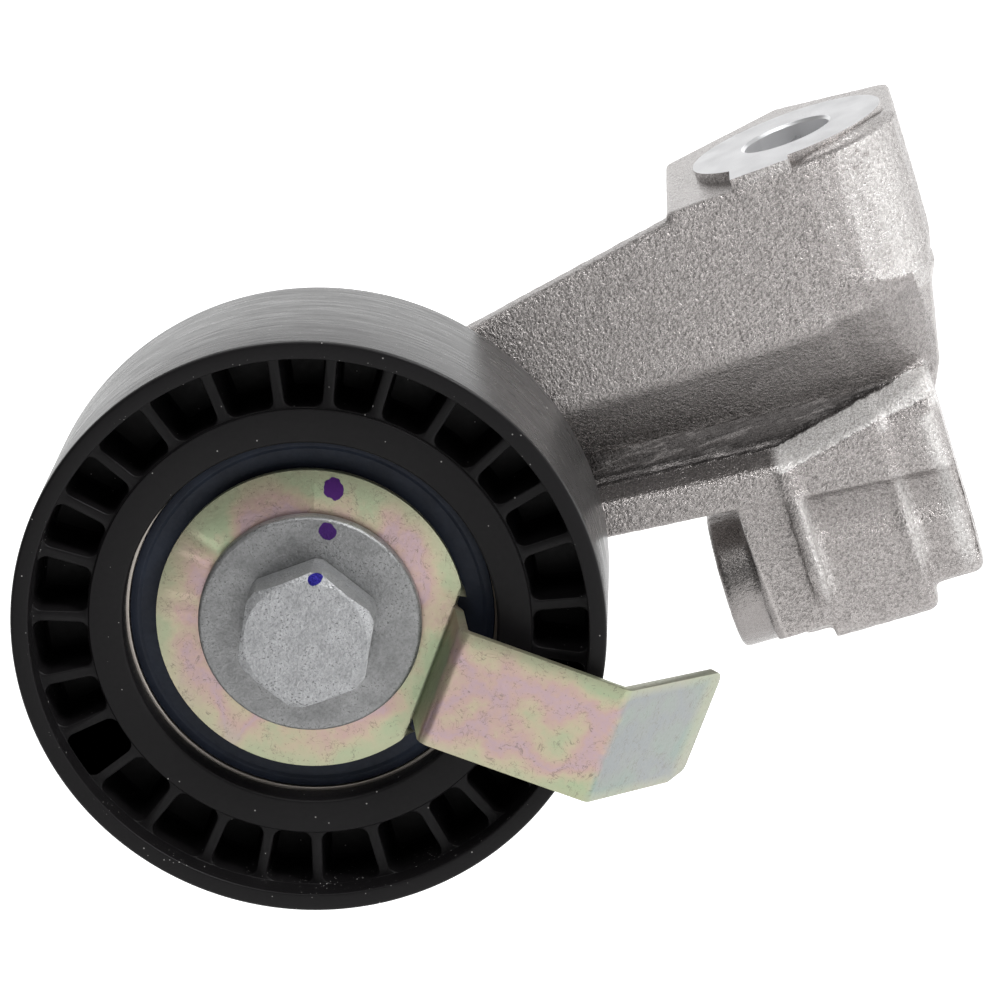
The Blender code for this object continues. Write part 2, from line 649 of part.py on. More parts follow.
def build_guard_plate():
    """Washer plate with a tab that steps forward, crosses the rim and folds back over it."""
    centre = Matrix.Translation((PULLEY_X, 0, PULLEY_Z))
    frame = centre @ Matrix.Rotation(-TAB_ANGLE, 4, "Y")
    disc = []
    for index in range(WHEEL_STEPS):
        angle = 2 * pi * index / WHEEL_STEPS
        disc.append(Vector((PLATE_RADIUS * cos(angle), PLATE_RADIUS * sin(angle))))
    plate = flat_solid("guard_plate", [disc], "XZ", PLATE_FRONT_Y, PLATE_BACK_Y, YELLOW_ZINC,
                       centre)
    past = PLATE_RADIUS + OVERSHOOT
    cut_plate(plate, "plate_trim", TAB_STEP_RADIUS, past, -past, past, frame)
    boolean(plate, build_tab(frame), "UNION", ROBUST)
    for side in (-1, 1):
        low, high = sorted((side * TAB_WIDTH / 2, side * (TAB_WIDTH / 2 + NOTCH_WIDTH)))
        cut_plate(plate, "plate_notch", TAB_STEP_RADIUS - NOTCH_DEPTH, past, low, high, frame)
    hole = turned("plate_hole", [
        (0, PLATE_BACK_Y + OVERSHOOT), (BOLT_CLEARANCE_RADIUS, PLATE_BACK_Y + OVERSHOOT),
        (BOLT_CLEARANCE_RADIUS, PLATE_FRONT_Y - OVERSHOOT), (0, PLATE_FRONT_Y - OVERSHOOT),
    ], YELLOW_ZINC, BORE_STEPS)
    boolean(plate, hole, "DIFFERENCE", ROBUST)
    boolean(plate, build_tab_corner(frame), "DIFFERENCE", ROBUST)
    shade(plate)


def cut_plate(plate, name, near, far, low, high, frame):
    """Cut a rectangle out of the flat plate: near to far along the tab, low to high across."""
    outline = [(near, low), (far, low), (far, high), (near, high)]
    boolean(plate, flat_solid(name, [outline], "XZ", PLATE_FRONT_Y - OVERSHOOT,
                              PLATE_BACK_Y + OVERSHOOT, YELLOW_ZINC, frame),
            "DIFFERENCE", ROBUST)


def tab_end():
    """Far end of the tab's middle line, as (distance along the tab, y)."""
    tab_y = (PLATE_FRONT_Y + PLATE_BACK_Y) / 2 - TAB_RISE
    return (TAB_FOLD_RADIUS + TAB_END_LENGTH * cos(TAB_END_ANGLE),
            tab_y + TAB_END_LENGTH * sin(TAB_END_ANGLE))


def sheet_path():
    """Middle line of the tab's sheet as (distance along the tab, y), with round bends."""
    plate_y = (PLATE_FRONT_Y + PLATE_BACK_Y) / 2
    tab_y = plate_y - TAB_RISE
    bend = TAB_BEND_RADIUS + PLATE_THICKNESS / 2
    return [
        (TAB_STEP_RADIUS - TAB_ROOT, plate_y, 0), (TAB_STEP_RADIUS, plate_y, bend),
        (TAB_STEP_RADIUS + TAB_STEP_RUN, tab_y, bend), (TAB_FOLD_RADIUS, tab_y, bend / 2),
        (*tab_end(), 0),
    ]


def build_tab(frame):
    """Bent sheet of the tab, extruded across its width."""
    half = PLATE_THICKNESS / 2
    line = rounded_path(sheet_path())
    upper = []
    lower = []
    for index, point in enumerate(line):
        before = line[max(index - 1, 0)]
        after = line[min(index + 1, len(line) - 1)]
        direction = (after - before).normalized()
        side = Vector((-direction.y, direction.x)) * half
        upper.append(point + side)
        lower.append(point - side)
    outline = upper + list(reversed(lower))
    return flat_solid("guard_tab", [outline], "XY", -TAB_WIDTH / 2, TAB_WIDTH / 2, YELLOW_ZINC,
                      frame)


def build_tab_corner(frame):
    """Wedge that takes the lower far corner off the tab."""
    place = frame @ Matrix.Translation((*tab_end(), 0))
    place = place @ Matrix.Rotation(TAB_END_ANGLE, 4, "Z")
    edge = -TAB_WIDTH / 2
    outline = [(-TAB_CORNER_LENGTH, edge), (-TAB_CORNER_LENGTH, edge - OVERSHOOT),
               (OVERSHOOT, edge - OVERSHOOT), (OVERSHOOT, edge + TAB_CORNER_WIDTH),
               (0, edge + TAB_CORNER_WIDTH)]
    return flat_solid("tab_corner", [outline], "XZ", -OVERSHOOT, OVERSHOOT, YELLOW_ZINC, place)


def rounded_path(corners, steps=FILLET_STEPS):
    """Open line through (u, v, radius) corners, turned by arcs."""
    line = [Vector(corners[0][:2])]
    for index in range(1, len(corners) - 1):
        u, v, radius = corners[index]
        corner = Vector((u, v))
        before = (Vector(corners[index - 1][:2]) - corner).normalized()
        after = (Vector(corners[index + 1][:2]) - corner).normalized()
        half = acos(max(-1.0, min(1.0, before.dot(after)))) / 2
        centre = corner + (before + after).normalized() * (radius / sin(half))
        start = corner + before * (radius / tan(half)) - centre
        turn = (pi - 2 * half) * (1 if before.cross(after) < 0 else -1)
        for step in range(steps + 1):
            line.append(centre + Matrix.Rotation(turn * step / steps, 2) @ start)
    line.append(Vector(corners[-1][:2]))
    return line


# ---- Bracket ----------------------------------------------------------------------------

def from_root(x):
    """Distance along the arm from the place where its heights are stated."""
    return x - ARM_ROOT_X


def ridge_z(x):
    """Lower edge of the arm's front wall."""
    return RIDGE_Z + RIDGE_SAG * ((x - RIDGE_X) / (ARM_START_X - RIDGE_X)) ** 2


def web_top_z(x):
    """Where the leaning wall under the ridge meets the web."""
    return WEB_TOP_Z + WEB_TOP_SLOPE * from_root(x)


def arm_section(x):
    """Folded section of the arm at x: front wall, leaning wall, web and lower flange."""
    top = ARM_TOP_Z + ARM_TOP_SLOPE * from_root(x)
    ridge = ridge_z(x)
    web_top = web_top_z(x)
    flange_top = FLANGE_TOP_Z + FLANGE_TOP_SLOPE * from_root(x)
    bottom = FLANGE_BOTTOM_Z + FLANGE_BOTTOM_SLOPE * from_root(x)
    flange_back = FRONT_Y + FLANGE_DEPTH
    lean = 0.4 * WALL          # drop of the back side where it follows a leaning wall
    corners = [
        (FRONT_Y, top, EDGE_ROUND), (FRONT_Y, ridge, RIDGE_ROUND),
        (WEB_Y, web_top, BEND_ROUND), (WEB_Y, flange_top + EDGE_ROUND, BEND_ROUND),
        (FRONT_Y, flange_top, EDGE_ROUND), (FRONT_Y, bottom, EDGE_ROUND),
        (flange_back, bottom, EDGE_ROUND), (flange_back, flange_top - EDGE_ROUND, EDGE_ROUND),
        (WEB_Y + WALL, flange_top, BEND_ROUND), (WEB_Y + WALL, web_top + lean, BEND_ROUND),
        (FRONT_Y + WALL, ridge + lean, RIDGE_ROUND), (FRONT_Y + WALL, top, EDGE_ROUND),
    ]
    return [Vector((x, y, z)) for y, z in rounded(corners, 2)]


def column_section(z, left, right, back, front_corner, setback=0.0):
    """Level section of the boss column, with a big round corner at the front right."""
    front = FRONT_Y + setback
    corners = [
        (left, front, COLUMN_LEFT_ROUND), (right, front, front_corner),
        (right, back - COLUMN_RIGHT_DROP, COLUMN_BACK_ROUND),
        (COLUMN_PEAK_X, back, COLUMN_BACK_ROUND),
        (left, back - COLUMN_LEFT_DROP, COLUMN_LEFT_ROUND),
    ]
    return [Vector((x, y, z)) for x, y in rounded(corners, 5)]


def draped(sizes, height, lift):
    """Section with each point at the height that its x calls for, plus a lift."""
    setback, left, right, back, front_corner = sizes
    section = column_section(0, left, right, back, front_corner, setback)
    return [Vector((point.x, point.y, height(point.x) + lift)) for point in section]


def build_column():
    """Boss column: square at the pad, drawn in below, its front leaning back to the web."""
    sections = [column_section(*sizes) for sizes in COLUMN_SECTIONS]
    sections.append(draped(RIDGE_SECTION, ridge_z, DRAPE_LIFT))
    sections.append(draped(WEB_SECTION, web_top_z, 0))
    setback, left, right, back, front_corner = LOWEST_SECTION
    sections.append(column_section(-COLUMN_LENGTH, left, right, back, front_corner, setback))
    return lofted("column", sections, CAST_ALUMINIUM)


def foot_frame():
    return Matrix.Translation((FOOT_X, 0, FOOT_Z)) @ Matrix.Rotation(FOOT_TILT, 4, "Y")


def foot_section(x, setback, brow, crease, bottom, brow_round):
    """Section of the foot at x: sloping top, upright brow, crease, rounded lower edge."""
    front = FRONT_Y + setback
    corners = [
        (front, brow, brow_round), (front, crease, EDGE_ROUND),
        (front + FOOT_CREASE_SETBACK, crease - FOOT_CREASE_SETBACK, EDGE_ROUND),
        (front + FOOT_HEEL_SETBACK, bottom, FOOT_HEEL_ROUND),
        (FOOT_BACK_Y, bottom, FOOT_HEEL_ROUND), (FOOT_BACK_Y, brow, FOOT_HEEL_ROUND),
        (WEB_Y, brow + FOOT_TOP_RISE, BEND_ROUND),
    ]
    return [Vector((x, y, z)) for y, z in rounded(corners, 3)]


def foot_panel(name, left, right, ends, place):
    """Panel of the foot between two sections, its right end rounded off."""
    start, end = ends
    sections = [foot_section(left, *start)]
    for share in (1.0, 0.3, 0.0):
        x = right - FOOT_ROUND * share
        along = (x - left) / (right - left)
        setback, brow, crease, bottom, brow_round = [a + (b - a) * along
                                                     for a, b in zip(start, end)]
        inset = FOOT_ROUND * (1 - sqrt(1 - (1 - share) ** 2))
        sections.append(foot_section(x, setback + inset, brow - inset / 2, crease,
                                     bottom + inset, brow_round))
    return lofted(name, sections, CAST_ALUMINIUM, place)


def build_foot():
    """Foot below the column: two stepped panels, an edge rib, an ear and a bored boss."""
    place = foot_frame()
    left = FOOT_LEFT
    foot = foot_panel("foot_left_panel", left, FOOT_STEP, LEFT_PANEL, place)
    boolean(foot, foot_panel("foot_right_panel", FOOT_STEP - FOOT_LAP, FOOT_RIGHT, RIGHT_PANEL,
                             place), "UNION", ROBUST)
    heel = lofted("foot_heel", [
        foot_section(left - HEEL_LENGTH, *HEEL_PANEL[0]), foot_section(left + WALL, *HEEL_PANEL[1]),
    ], CAST_ALUMINIUM, place)
    boolean(foot, heel, "UNION", ROBUST)
    boolean(foot, build_ear(place), "UNION", ROBUST)
    boolean(foot, build_edge_rib(place), "UNION", ROBUST)
    along = place @ Matrix.Translation((0, FOOT_BOSS_Y, FOOT_BOSS_Z))
    along = along @ Matrix.Rotation(pi / 2, 4, "Y")
    boolean(foot, turned("foot_boss", [
        (0, left + OVERSHOOT), (FOOT_BOSS_RADIUS, left + OVERSHOOT),
        (FOOT_BOSS_RADIUS, FOOT_BOSS_END + FOOT_BOSS_ROUND),
        (FOOT_BOSS_RADIUS - FOOT_BOSS_ROUND, FOOT_BOSS_END), (0, FOOT_BOSS_END),
    ], CAST_ALUMINIUM, RING_STEPS, along), "UNION", ROBUST)
    return foot


def build_ear(place):
    """Flat ear that covers the front of the bored boss."""
    near = FRONT_Y + EDGE_ROUND
    outline = rounded([
        (near, EAR_TOP, 0), (near + EAR_LEAN, EAR_BOTTOM, EDGE_ROUND * 2),
        (EAR_BACK_Y, EAR_BOTTOM - EDGE_ROUND, EDGE_ROUND), (EAR_BACK_Y, EAR_TOP, 0)])
    return flat_solid("foot_ear", [outline], "YZ", FOOT_LEFT - EAR_LENGTH,
                      FOOT_LEFT + EDGE_ROUND, CAST_ALUMINIUM, place)


def build_edge_rib(place):
    """Narrow rib down the left edge of the left panel."""
    near = FRONT_Y - EDGE_RIB_PROUD
    outline = rounded([
        (near, EDGE_RIB_TOP, EDGE_ROUND), (near, EDGE_RIB_BOTTOM / 2, FOOT_HEEL_SETBACK),
        (near + FOOT_HEEL_SETBACK, EDGE_RIB_BOTTOM, EDGE_ROUND),
        (WEB_Y, EDGE_RIB_BOTTOM, 0), (WEB_Y, EDGE_RIB_TOP, 0)])
    start = FOOT_LEFT - EDGE_RIB_OUTSET
    return flat_solid("foot_edge_rib", [outline], "YZ", start, start + EDGE_RIB_WIDTH,
                      CAST_ALUMINIUM, place)


def build_foot_bore():
    along = foot_frame() @ Matrix.Translation((0, FOOT_BOSS_Y, FOOT_BOSS_Z))
    along = along @ Matrix.Rotation(pi / 2, 4, "Y")
    high = FOOT_RIGHT + OVERSHOOT
    low = FOOT_BOSS_END - OVERSHOOT
    return turned("foot_bore", [
        (0, high), (FOOT_BORE_RADIUS, high), (FOOT_BORE_RADIUS, low), (0, low),
    ], CAST_ALUMINIUM, BORE_STEPS, along)


def build_hub():
    """Boss behind the pulley, with the turned seat that the bearing is clamped against."""
    back = FRONT_Y + HUB_BOSS_BACK
    front = FRONT_Y - HUB_BOSS_PROUD
    return turned("hub_boss", [
        (0, back), (HUB_BOSS_RADIUS - HUB_BOSS_ROUND, back),
        (HUB_BOSS_RADIUS, back - HUB_BOSS_ROUND), (HUB_BOSS_RADIUS, front + EDGE_ROUND),
        (HUB_BOSS_RADIUS - EDGE_ROUND, front), (HUB_SEAT_RADIUS + HUB_SEAT_FILLET, front),
        (HUB_SEAT_RADIUS, front - HUB_SEAT_FILLET), (HUB_SEAT_RADIUS, SEAT_Y + RIM_CHAMFER),
        (HUB_SEAT_RADIUS - RIM_CHAMFER, SEAT_Y), (0, SEAT_Y),
    ], CAST_ALUMINIUM, WHEEL_STEPS)


def build_hub_hole():
    back = FRONT_Y + HUB_BOSS_BACK + OVERSHOOT
    front = SEAT_Y - OVERSHOOT
    return turned("hub_hole", [
        (0, back), (BOLT_CLEARANCE_RADIUS, back), (BOLT_CLEARANCE_RADIUS, front), (0, front),
    ], CAST_ALUMINIUM, BORE_STEPS)


def build_pad():
    """Machined pad: a disc with a short lug that runs out to the bracket's front face."""
    left = PAD_LUG_X - PAD_LUG_WIDTH / 2
    right = PAD_LUG_X + PAD_LUG_WIDTH / 2
    start = atan2(-sqrt(PAD_RADIUS ** 2 - right ** 2), right)
    end = atan2(-sqrt(PAD_RADIUS ** 2 - left ** 2), left) + 2 * pi
    outline = []
    for step in range(PAD_STEPS + 1):
        angle = start + (end - start) * step / PAD_STEPS
        outline.append(Vector((PAD_RADIUS * cos(angle), PAD_RADIUS * sin(angle))))
    outline.append(Vector((left, FRONT_Y - PAD_LUG_PROUD)))
    outline.append(Vector((right, FRONT_Y - PAD_LUG_PROUD)))
    pad = flat_solid("pad", [outline], "XY", -PAD_HEIGHT - OVERSHOOT, 0, CAST_ALUMINIUM)
    bevel(pad, PAD_CHAMFER, 1, radians(60))
    return pad


def build_arm_rib():
    """Stiffening rib behind the arm's front wall, from the hub to the column."""
    near = FRONT_Y + WALL / 4
    far = FRONT_Y + WALL + ARM_RIB_DEPTH
    half = ARM_RIB_THICKNESS / 2
    tip = half - ARM_RIB_DRAFT
    outline = [(near, ARM_RIB_Z - half), (far, ARM_RIB_Z - tip),
               (far, ARM_RIB_Z + tip), (near, ARM_RIB_Z + half)]
    return flat_solid("arm_rib", [outline], "YZ", ARM_START_X + MERGE * 100, 0, CAST_ALUMINIUM)


def build_bolt_hole():
    """Blind hole down the column, with a chamfer at the pad and a drilled cone below."""
    bottom = -BOLT_HOLE_DEPTH
    chamfer = BOLT_HOLE_CHAMFER + OVERSHOOT
    return turned("bolt_hole", [
        (0, OVERSHOOT), (BOLT_HOLE_RADIUS + chamfer, OVERSHOOT),
        (BOLT_HOLE_RADIUS, -BOLT_HOLE_CHAMFER), (BOLT_HOLE_RADIUS, bottom),
        (0, bottom - BOLT_HOLE_RADIUS * tan(DRILL_POINT_ANGLE)),
    ], CAST_ALUMINIUM, RING_STEPS, Matrix.Identity(4))


def build_bracket():
    """Casting: folded arm, hub, boss column with its machined pad, and foot."""
    sections = []
    for index in range(ARM_SPANS + 1):
        x = ARM_START_X + (ARM_END_X - ARM_START_X) * index / ARM_SPANS
        sections.append(arm_section(x))
    bracket = lofted("bracket", sections, CAST_ALUMINIUM)
    boolean(bracket, build_column(), "UNION", ROBUST)
    boolean(bracket, build_arm_rib(), "UNION", ROBUST)
    boolean(bracket, build_hub(), "UNION", ROBUST)
    boolean(bracket, build_hub_hole(), "DIFFERENCE", ROBUST)
    boolean(bracket, build_pad(), "UNION", ROBUST)
    boolean(bracket, build_foot(), "UNION", ROBUST)
    boolean(bracket, build_foot_bore(), "DIFFERENCE", ROBUST)
    boolean(bracket, build_bolt_hole(), "DIFFERENCE", ROBUST)
    shade(bracket)


build_bracket()
build_wheel()
build_outer_ring()
build_inner_ring()
build_seal("front_seal", BEARING_FRONT_Y, 1)
build_seal("rear_seal", BEARING_BACK_Y, -1)
build_balls()
build_cage_half("cage_front", -1)
build_cage_half("cage_rear", 1)
build_sleeve()
build_washer()
build_bolt()
build_guard_plate()
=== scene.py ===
"""Belt tensioner idler: the fine visual model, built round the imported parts.

Every length is in metres.  +Z runs up out of the bracket's bolt hole, +X runs along the arm
away from the pulley, and the pulley turns about an axis along Y, its bolt head towards -Y.
"""

import logging
from dataclasses import dataclass, field
from enum import Enum
from math import acos, atan2, cos, exp, pi, radians, sin, sqrt, tan
from typing import Iterable, Optional, Sequence, Union

import bmesh
import bpy
from mathutils import Matrix, Vector, noise


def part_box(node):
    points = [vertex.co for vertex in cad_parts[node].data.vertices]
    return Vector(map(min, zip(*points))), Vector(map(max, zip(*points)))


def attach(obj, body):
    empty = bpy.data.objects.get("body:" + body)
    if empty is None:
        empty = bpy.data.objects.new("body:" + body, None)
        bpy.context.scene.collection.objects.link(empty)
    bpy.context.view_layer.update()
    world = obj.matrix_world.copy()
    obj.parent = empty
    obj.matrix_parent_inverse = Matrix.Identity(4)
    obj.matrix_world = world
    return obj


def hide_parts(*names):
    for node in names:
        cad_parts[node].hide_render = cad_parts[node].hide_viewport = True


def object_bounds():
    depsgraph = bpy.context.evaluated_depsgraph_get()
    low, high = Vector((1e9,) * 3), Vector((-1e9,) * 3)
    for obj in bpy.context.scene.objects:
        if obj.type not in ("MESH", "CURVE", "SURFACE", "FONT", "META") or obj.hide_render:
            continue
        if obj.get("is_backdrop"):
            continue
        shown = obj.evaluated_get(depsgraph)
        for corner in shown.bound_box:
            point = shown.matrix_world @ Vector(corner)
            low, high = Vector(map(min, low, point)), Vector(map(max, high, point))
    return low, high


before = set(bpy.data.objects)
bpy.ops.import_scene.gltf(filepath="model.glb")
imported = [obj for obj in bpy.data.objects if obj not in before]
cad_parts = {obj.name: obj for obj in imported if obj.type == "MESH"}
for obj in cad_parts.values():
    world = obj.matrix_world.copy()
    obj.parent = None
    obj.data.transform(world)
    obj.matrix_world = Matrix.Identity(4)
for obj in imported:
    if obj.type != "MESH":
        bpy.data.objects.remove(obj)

MM = 0.001
LOG = logging.getLogger("idler")
Socket = bpy.types.NodeSocket
Value = Union[float, Sequence[float], Socket]
Profile = list[tuple[float, float]]


class Body(Enum):
    """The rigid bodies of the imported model."""

    BRACKET = "bracket"
    PULLEY = "pulley"
    CAGE = "ball_cage"


class Slot(Enum):
    """The record's material slots."""

    CASTING = "cast_aluminium"
    NYLON = "black_nylon"
    BEARING = "bearing_steel"
    CAGE = "cage_steel"
    SEAL = "seal_rubber"
    PLATE = "yellow_zinc"
    FLAKE = "grey_zinc_flake"
    SLEEVE = "turned_steel"


class Cut(Enum):
    """What one closed mesh does to another."""

    ADD = "UNION"
    REMOVE = "DIFFERENCE"
    KEEP_COMMON = "INTERSECT"


# ---- Node materials -------------------------------------------------------------------


class NodeSketch:
    """A material under construction, with short calls for the nodes that finishes need."""

    def __init__(self, name: str) -> None:
        """Start a material with a plain Principled shader.

        Args:
            name: the material's name.
        """
        self.material = bpy.data.materials.new(name)
        self.material.use_nodes = True
        self.tree = self.material.node_tree
        self.shader = self.tree.nodes["Principled BSDF"]

    def node(self, kind: str, inputs: Optional[dict[Union[str, int], Value]] = None,
             **settings: object) -> bpy.types.Node:
        """Add a node, set its options and feed its inputs.

        Args:
            kind: the node's type without its ShaderNode prefix.
            inputs: what each input gets, by its name or number.
            settings: attributes of the node.

        Returns:
            The new node.
        """
        made = self.tree.nodes.new(f"ShaderNode{kind}")
        for name, value in settings.items():
            setattr(made, name, value)
        for key, value in (inputs or {}).items():
            self.feed(made.inputs[key], value)
        return made

    def feed(self, target: Socket, value: Value) -> None:
        """Link a socket, or set its value if it is given a plain one.

        Args:
            target: the socket that is fed.
            value: another socket, a number, a vector or a colour.
        """
        if isinstance(value, bpy.types.NodeSocket):
            self.tree.links.new(value, target)
        elif isinstance(value, (int, float)):
            target.default_value = value
        else:
            wide = len(target.default_value) == 4 and len(value) == 3
            target.default_value = (*value, 1.0) if wide else tuple(value)

    def surface(self, **inputs: Value) -> None:
        """Feed the shader's sockets; underscores stand for spaces in their names."""
        for name, value in inputs.items():
            self.feed(self.shader.inputs[name.replace("_", " ").title().replace("Ior", "IOR")],
                      value)

    def place(self, stretch: Sequence[float] = (1, 1, 1),
              centre: Sequence[float] = (0, 0, 0)) -> Socket:
        """Object coordinates about a centre, stretched along each axis.

        Args:
            stretch: factor on each coordinate.
            centre: the point that becomes the pattern's origin.

        Returns:
            A vector socket.
        """
        offset = tuple(-c * s for c, s in zip(centre, stretch))
        return self.node("Mapping", {"Vector": self.node("TexCoord").outputs["Object"],
                                     "Scale": stretch, "Location": offset},
                         vector_type="POINT").outputs["Vector"]

    def grains(self, size: float, vector: Optional[Socket] = None, detail: float = 2.0,
               roughness: float = 0.5, distortion: float = 0.0) -> Socket:
        """Lay noise from 0 to 1.

        Args:
            size: about how wide its features are.
            vector: its coordinates, the object's own if not given.
            detail: octaves of finer noise.
            roughness: how strong the finer noise is.
            distortion: how much it curls.

        Returns:
            A number socket.
        """
        return self.node("TexNoise", {
            "Vector": vector or self.place(), "Scale": 1.0 / size, "Detail": detail,
            "Roughness": roughness, "Distortion": distortion}).outputs["Fac"]

    def cells(self, size: float) -> Socket:
        """Distance to the nearest of scattered points about one size apart."""
        return self.node("TexVoronoi", {"Vector": self.place(),
                                        "Scale": 1.0 / size}).outputs["Distance"]

    def ramp(self, value: Socket, low: float, high: float, start: float = 0.0,
             end: float = 1.0) -> Socket:
        """Carry a value from one range to another and hold it beyond.

        Args:
            value: the number that is carried.
            low: where the first range starts.
            high: where the first range ends.
            start: what low becomes.
            end: what high becomes.

        Returns:
            A number socket.
        """
        return self.node("MapRange", {"Value": value, "From Min": low, "From Max": high,
                                      "To Min": start, "To Max": end},
                         clamp=True).outputs["Result"]

    def tints(self, value: Socket, stops: Sequence[tuple[float, Sequence[float]]]) -> Socket:
        """Colour read from a row of stops.

        Args:
            value: the number that is looked up.
            stops: (position, colour) pairs in order.

        Returns:
            A colour socket.
        """
        made = self.node("ValToRGB")
        elements = made.color_ramp.elements
        while len(elements) < len(stops):
            elements.new(0.5)
        for element, (position, colour) in zip(elements, stops):
            element.position = position
            element.color = (*colour, 1.0)
        self.feed(made.inputs["Fac"], value)
        return made.outputs["Color"]

    def blend(self, factor: Value, first: Value, second: Value) -> Socket:
        """Two colours mixed by a factor."""
        return self.node("Mix", {0: factor, 6: first, 7: second}, data_type="RGBA").outputs[2]

    def weigh(self, factor: Value, first: Value, second: Value) -> Socket:
        """Two numbers mixed by a factor."""
        return self.node("Mix", {0: factor, 2: first, 3: second}, data_type="FLOAT").outputs[0]

    def maths(self, operation: str, first: Value, second: Value = 0.0) -> Socket:
        """Two numbers put through a Math operation."""
        return self.node("Math", {0: first, 1: second}, operation=operation).outputs[0]

    def times(self, first: Value, second: Value) -> Socket:
        """Product of two numbers."""
        return self.maths("MULTIPLY", first, second)

    def plus(self, first: Value, second: Value) -> Socket:
        """Sum of two numbers."""
        return self.maths("ADD", first, second)

    def off(self, first: Value, second: Value) -> Socket:
        """Unsigned difference of two numbers."""
        return self.maths("ABSOLUTE", self.maths("SUBTRACT", first, second))

    def painted(self, name: str) -> Socket:
        """Number stored on the mesh's points under a name."""
        return self.node("Attribute", attribute_name=name).outputs["Fac"]

    def relief(self, height: Socket, depth: Value, under: Optional[Socket] = None) -> Socket:
        """Bumped normal.

        Args:
            height: relief from 0 to 1.
            depth: depth of the relief in metres.
            under: normal of a coarser relief below it.

        Returns:
            A normal socket.
        """
        inputs: dict[Union[str, int], Value] = {"Strength": 1.0, "Distance": depth,
                                                "Height": height}
        if under is not None:
            inputs["Normal"] = under
        return self.node("Bump", inputs).outputs["Normal"]

    def reach(self, direction: Sequence[float], origin: Sequence[float]) -> Socket:
        """Signed distance from an origin along a unit direction."""
        return self.node("VectorMath", {0: self.place((1, 1, 1), origin), 1: direction},
                         operation="DOT_PRODUCT").outputs["Value"]

    def length(self, vector: Socket) -> Socket:
        """Length of a vector."""
        return self.node("VectorMath", {0: vector}, operation="LENGTH").outputs["Value"]

    def radius_about(self, centre: Sequence[float], axis: str) -> Socket:
        """Distance from an axis through a centre, along X, Y or Z."""
        return self.length(self.place([float(letter != axis) for letter in "XYZ"], centre))


@dataclass(frozen=True)
class MarkerDab:
    """A dab of marking ink on a face that looks along -Y, where depth tells how fast it ends."""

    x: float
    z: float
    radius: float
    colour: tuple[float, float, float]
    stretch: float = 1.0
    y: float = 0.0
    depth: float = 0.0

    def mask(self, sketch: NodeSketch) -> Socket:
        """Ragged round mask of the dab.

        Args:
            sketch: the material that it is laid in.

        Returns:
            A number that is 1 inside the dab.
        """
        centred = sketch.place((1.0, self.depth, 1.0 / self.stretch), (self.x, self.y, self.z))
        ragged = sketch.times(sketch.grains(0.9 * MM, detail=3.0), self.radius * 0.6)
        edge = sketch.plus(sketch.length(centred), ragged)
        return sketch.ramp(edge, self.radius * 1.28, self.radius * 1.36, 1.0, 0.0)


@dataclass(frozen=True)
class CastAluminium:
    """Shot-blasted aluminium casting: a sparkling grain, quieter where the die's slide wiped the
    web, with painted highlights and painted shade mixed into its colour.
    """

    name: str = "cast_aluminium_grain"
    blasted: tuple[float, float, float] = (0.41, 0.385, 0.375)
    skin: tuple[float, float, float] = (0.43, 0.405, 0.395)
    # The next three colours are painted light: a highlight colour, then two dark colours that paint
    # shade in the arm's groove, in which the real drag streaks are drawn.
    painted_highlight: tuple[float, float, float] = (0.88, 0.86, 0.845)
    drag_and_painted_shade: tuple[float, float, float] = (0.095, 0.088, 0.086)
    streak_in_painted_shade: tuple[float, float, float] = (0.20, 0.187, 0.183)
    hollow: tuple[float, float, float] = (0.19, 0.176, 0.17)
    grain: float = 0.40 * MM
    depth: float = 0.25 * MM

    def build(self) -> bpy.types.Material:
        """Make the material.

        Returns:
            The finished material.
        """
        sketch = NodeSketch(self.name)
        rough = sketch.painted("grain")
        drag = sketch.painted("drag")
        coarse = sketch.grains(self.grain, detail=3.0, roughness=0.6)
        fine = sketch.grains(self.grain * 0.45, detail=2.0, roughness=0.6)
        height = sketch.plus(coarse, sketch.times(fine, 0.5))
        waves = sketch.grains(2.2 * MM, detail=3.0, roughness=0.6)
        below = sketch.relief(waves, 0.08 * MM)
        depth = sketch.ramp(rough, 0.0, 1.0, self.depth * 0.10, self.depth)
        streaks = sketch.grains(0.9 * MM, sketch.place((0.16, 1.0, 1.1)), detail=4.0,
                                roughness=0.7)
        torn = sketch.ramp(streaks, 0.52, 0.60)
        below = sketch.relief(streaks, sketch.times(drag, 0.16 * MM), below)
        normal = sketch.relief(height, depth, below)
        pits = sketch.ramp(coarse, 0.26, 0.58)
        blasted = sketch.blend(pits, self.hollow, self.blasted)
        cloud = sketch.ramp(sketch.grains(6 * MM, detail=5.0, roughness=0.65), 0.35, 0.65)
        skin = sketch.blend(cloud, self.skin, self.blasted)
        colour = sketch.blend(rough, skin, blasted)
        # The bright value paints light into the colour: below 0 it blends towards dark painted
        # shade, above 0 towards a painted highlight that is also less metallic.
        bright = sketch.painted("bright")
        colour = sketch.blend(sketch.ramp(bright, -1.0, 0.0, 0.75, 0.0), colour, self.drag_and_painted_shade)
        # The drag streaks' pattern is real; the dark colours that draw it are painted shade.
        streak_in_painted_shade = sketch.blend(torn, self.drag_and_painted_shade, self.streak_in_painted_shade)
        colour = sketch.blend(drag, colour, streak_in_painted_shade)
        colour = sketch.blend(sketch.ramp(bright, 0.0, 1.0, 0.0, 0.9), colour,
                              sketch.blend(pits, self.blasted, self.painted_highlight))
        metal = sketch.ramp(bright, 0.0, 1.0, 0.85, 0.2)
        gloss = sketch.ramp(fine, 0.3, 0.7, 0.19, 0.32)
        sketch.surface(base_color=colour, metallic=metal, roughness=gloss, normal=normal)
        return sketch.material


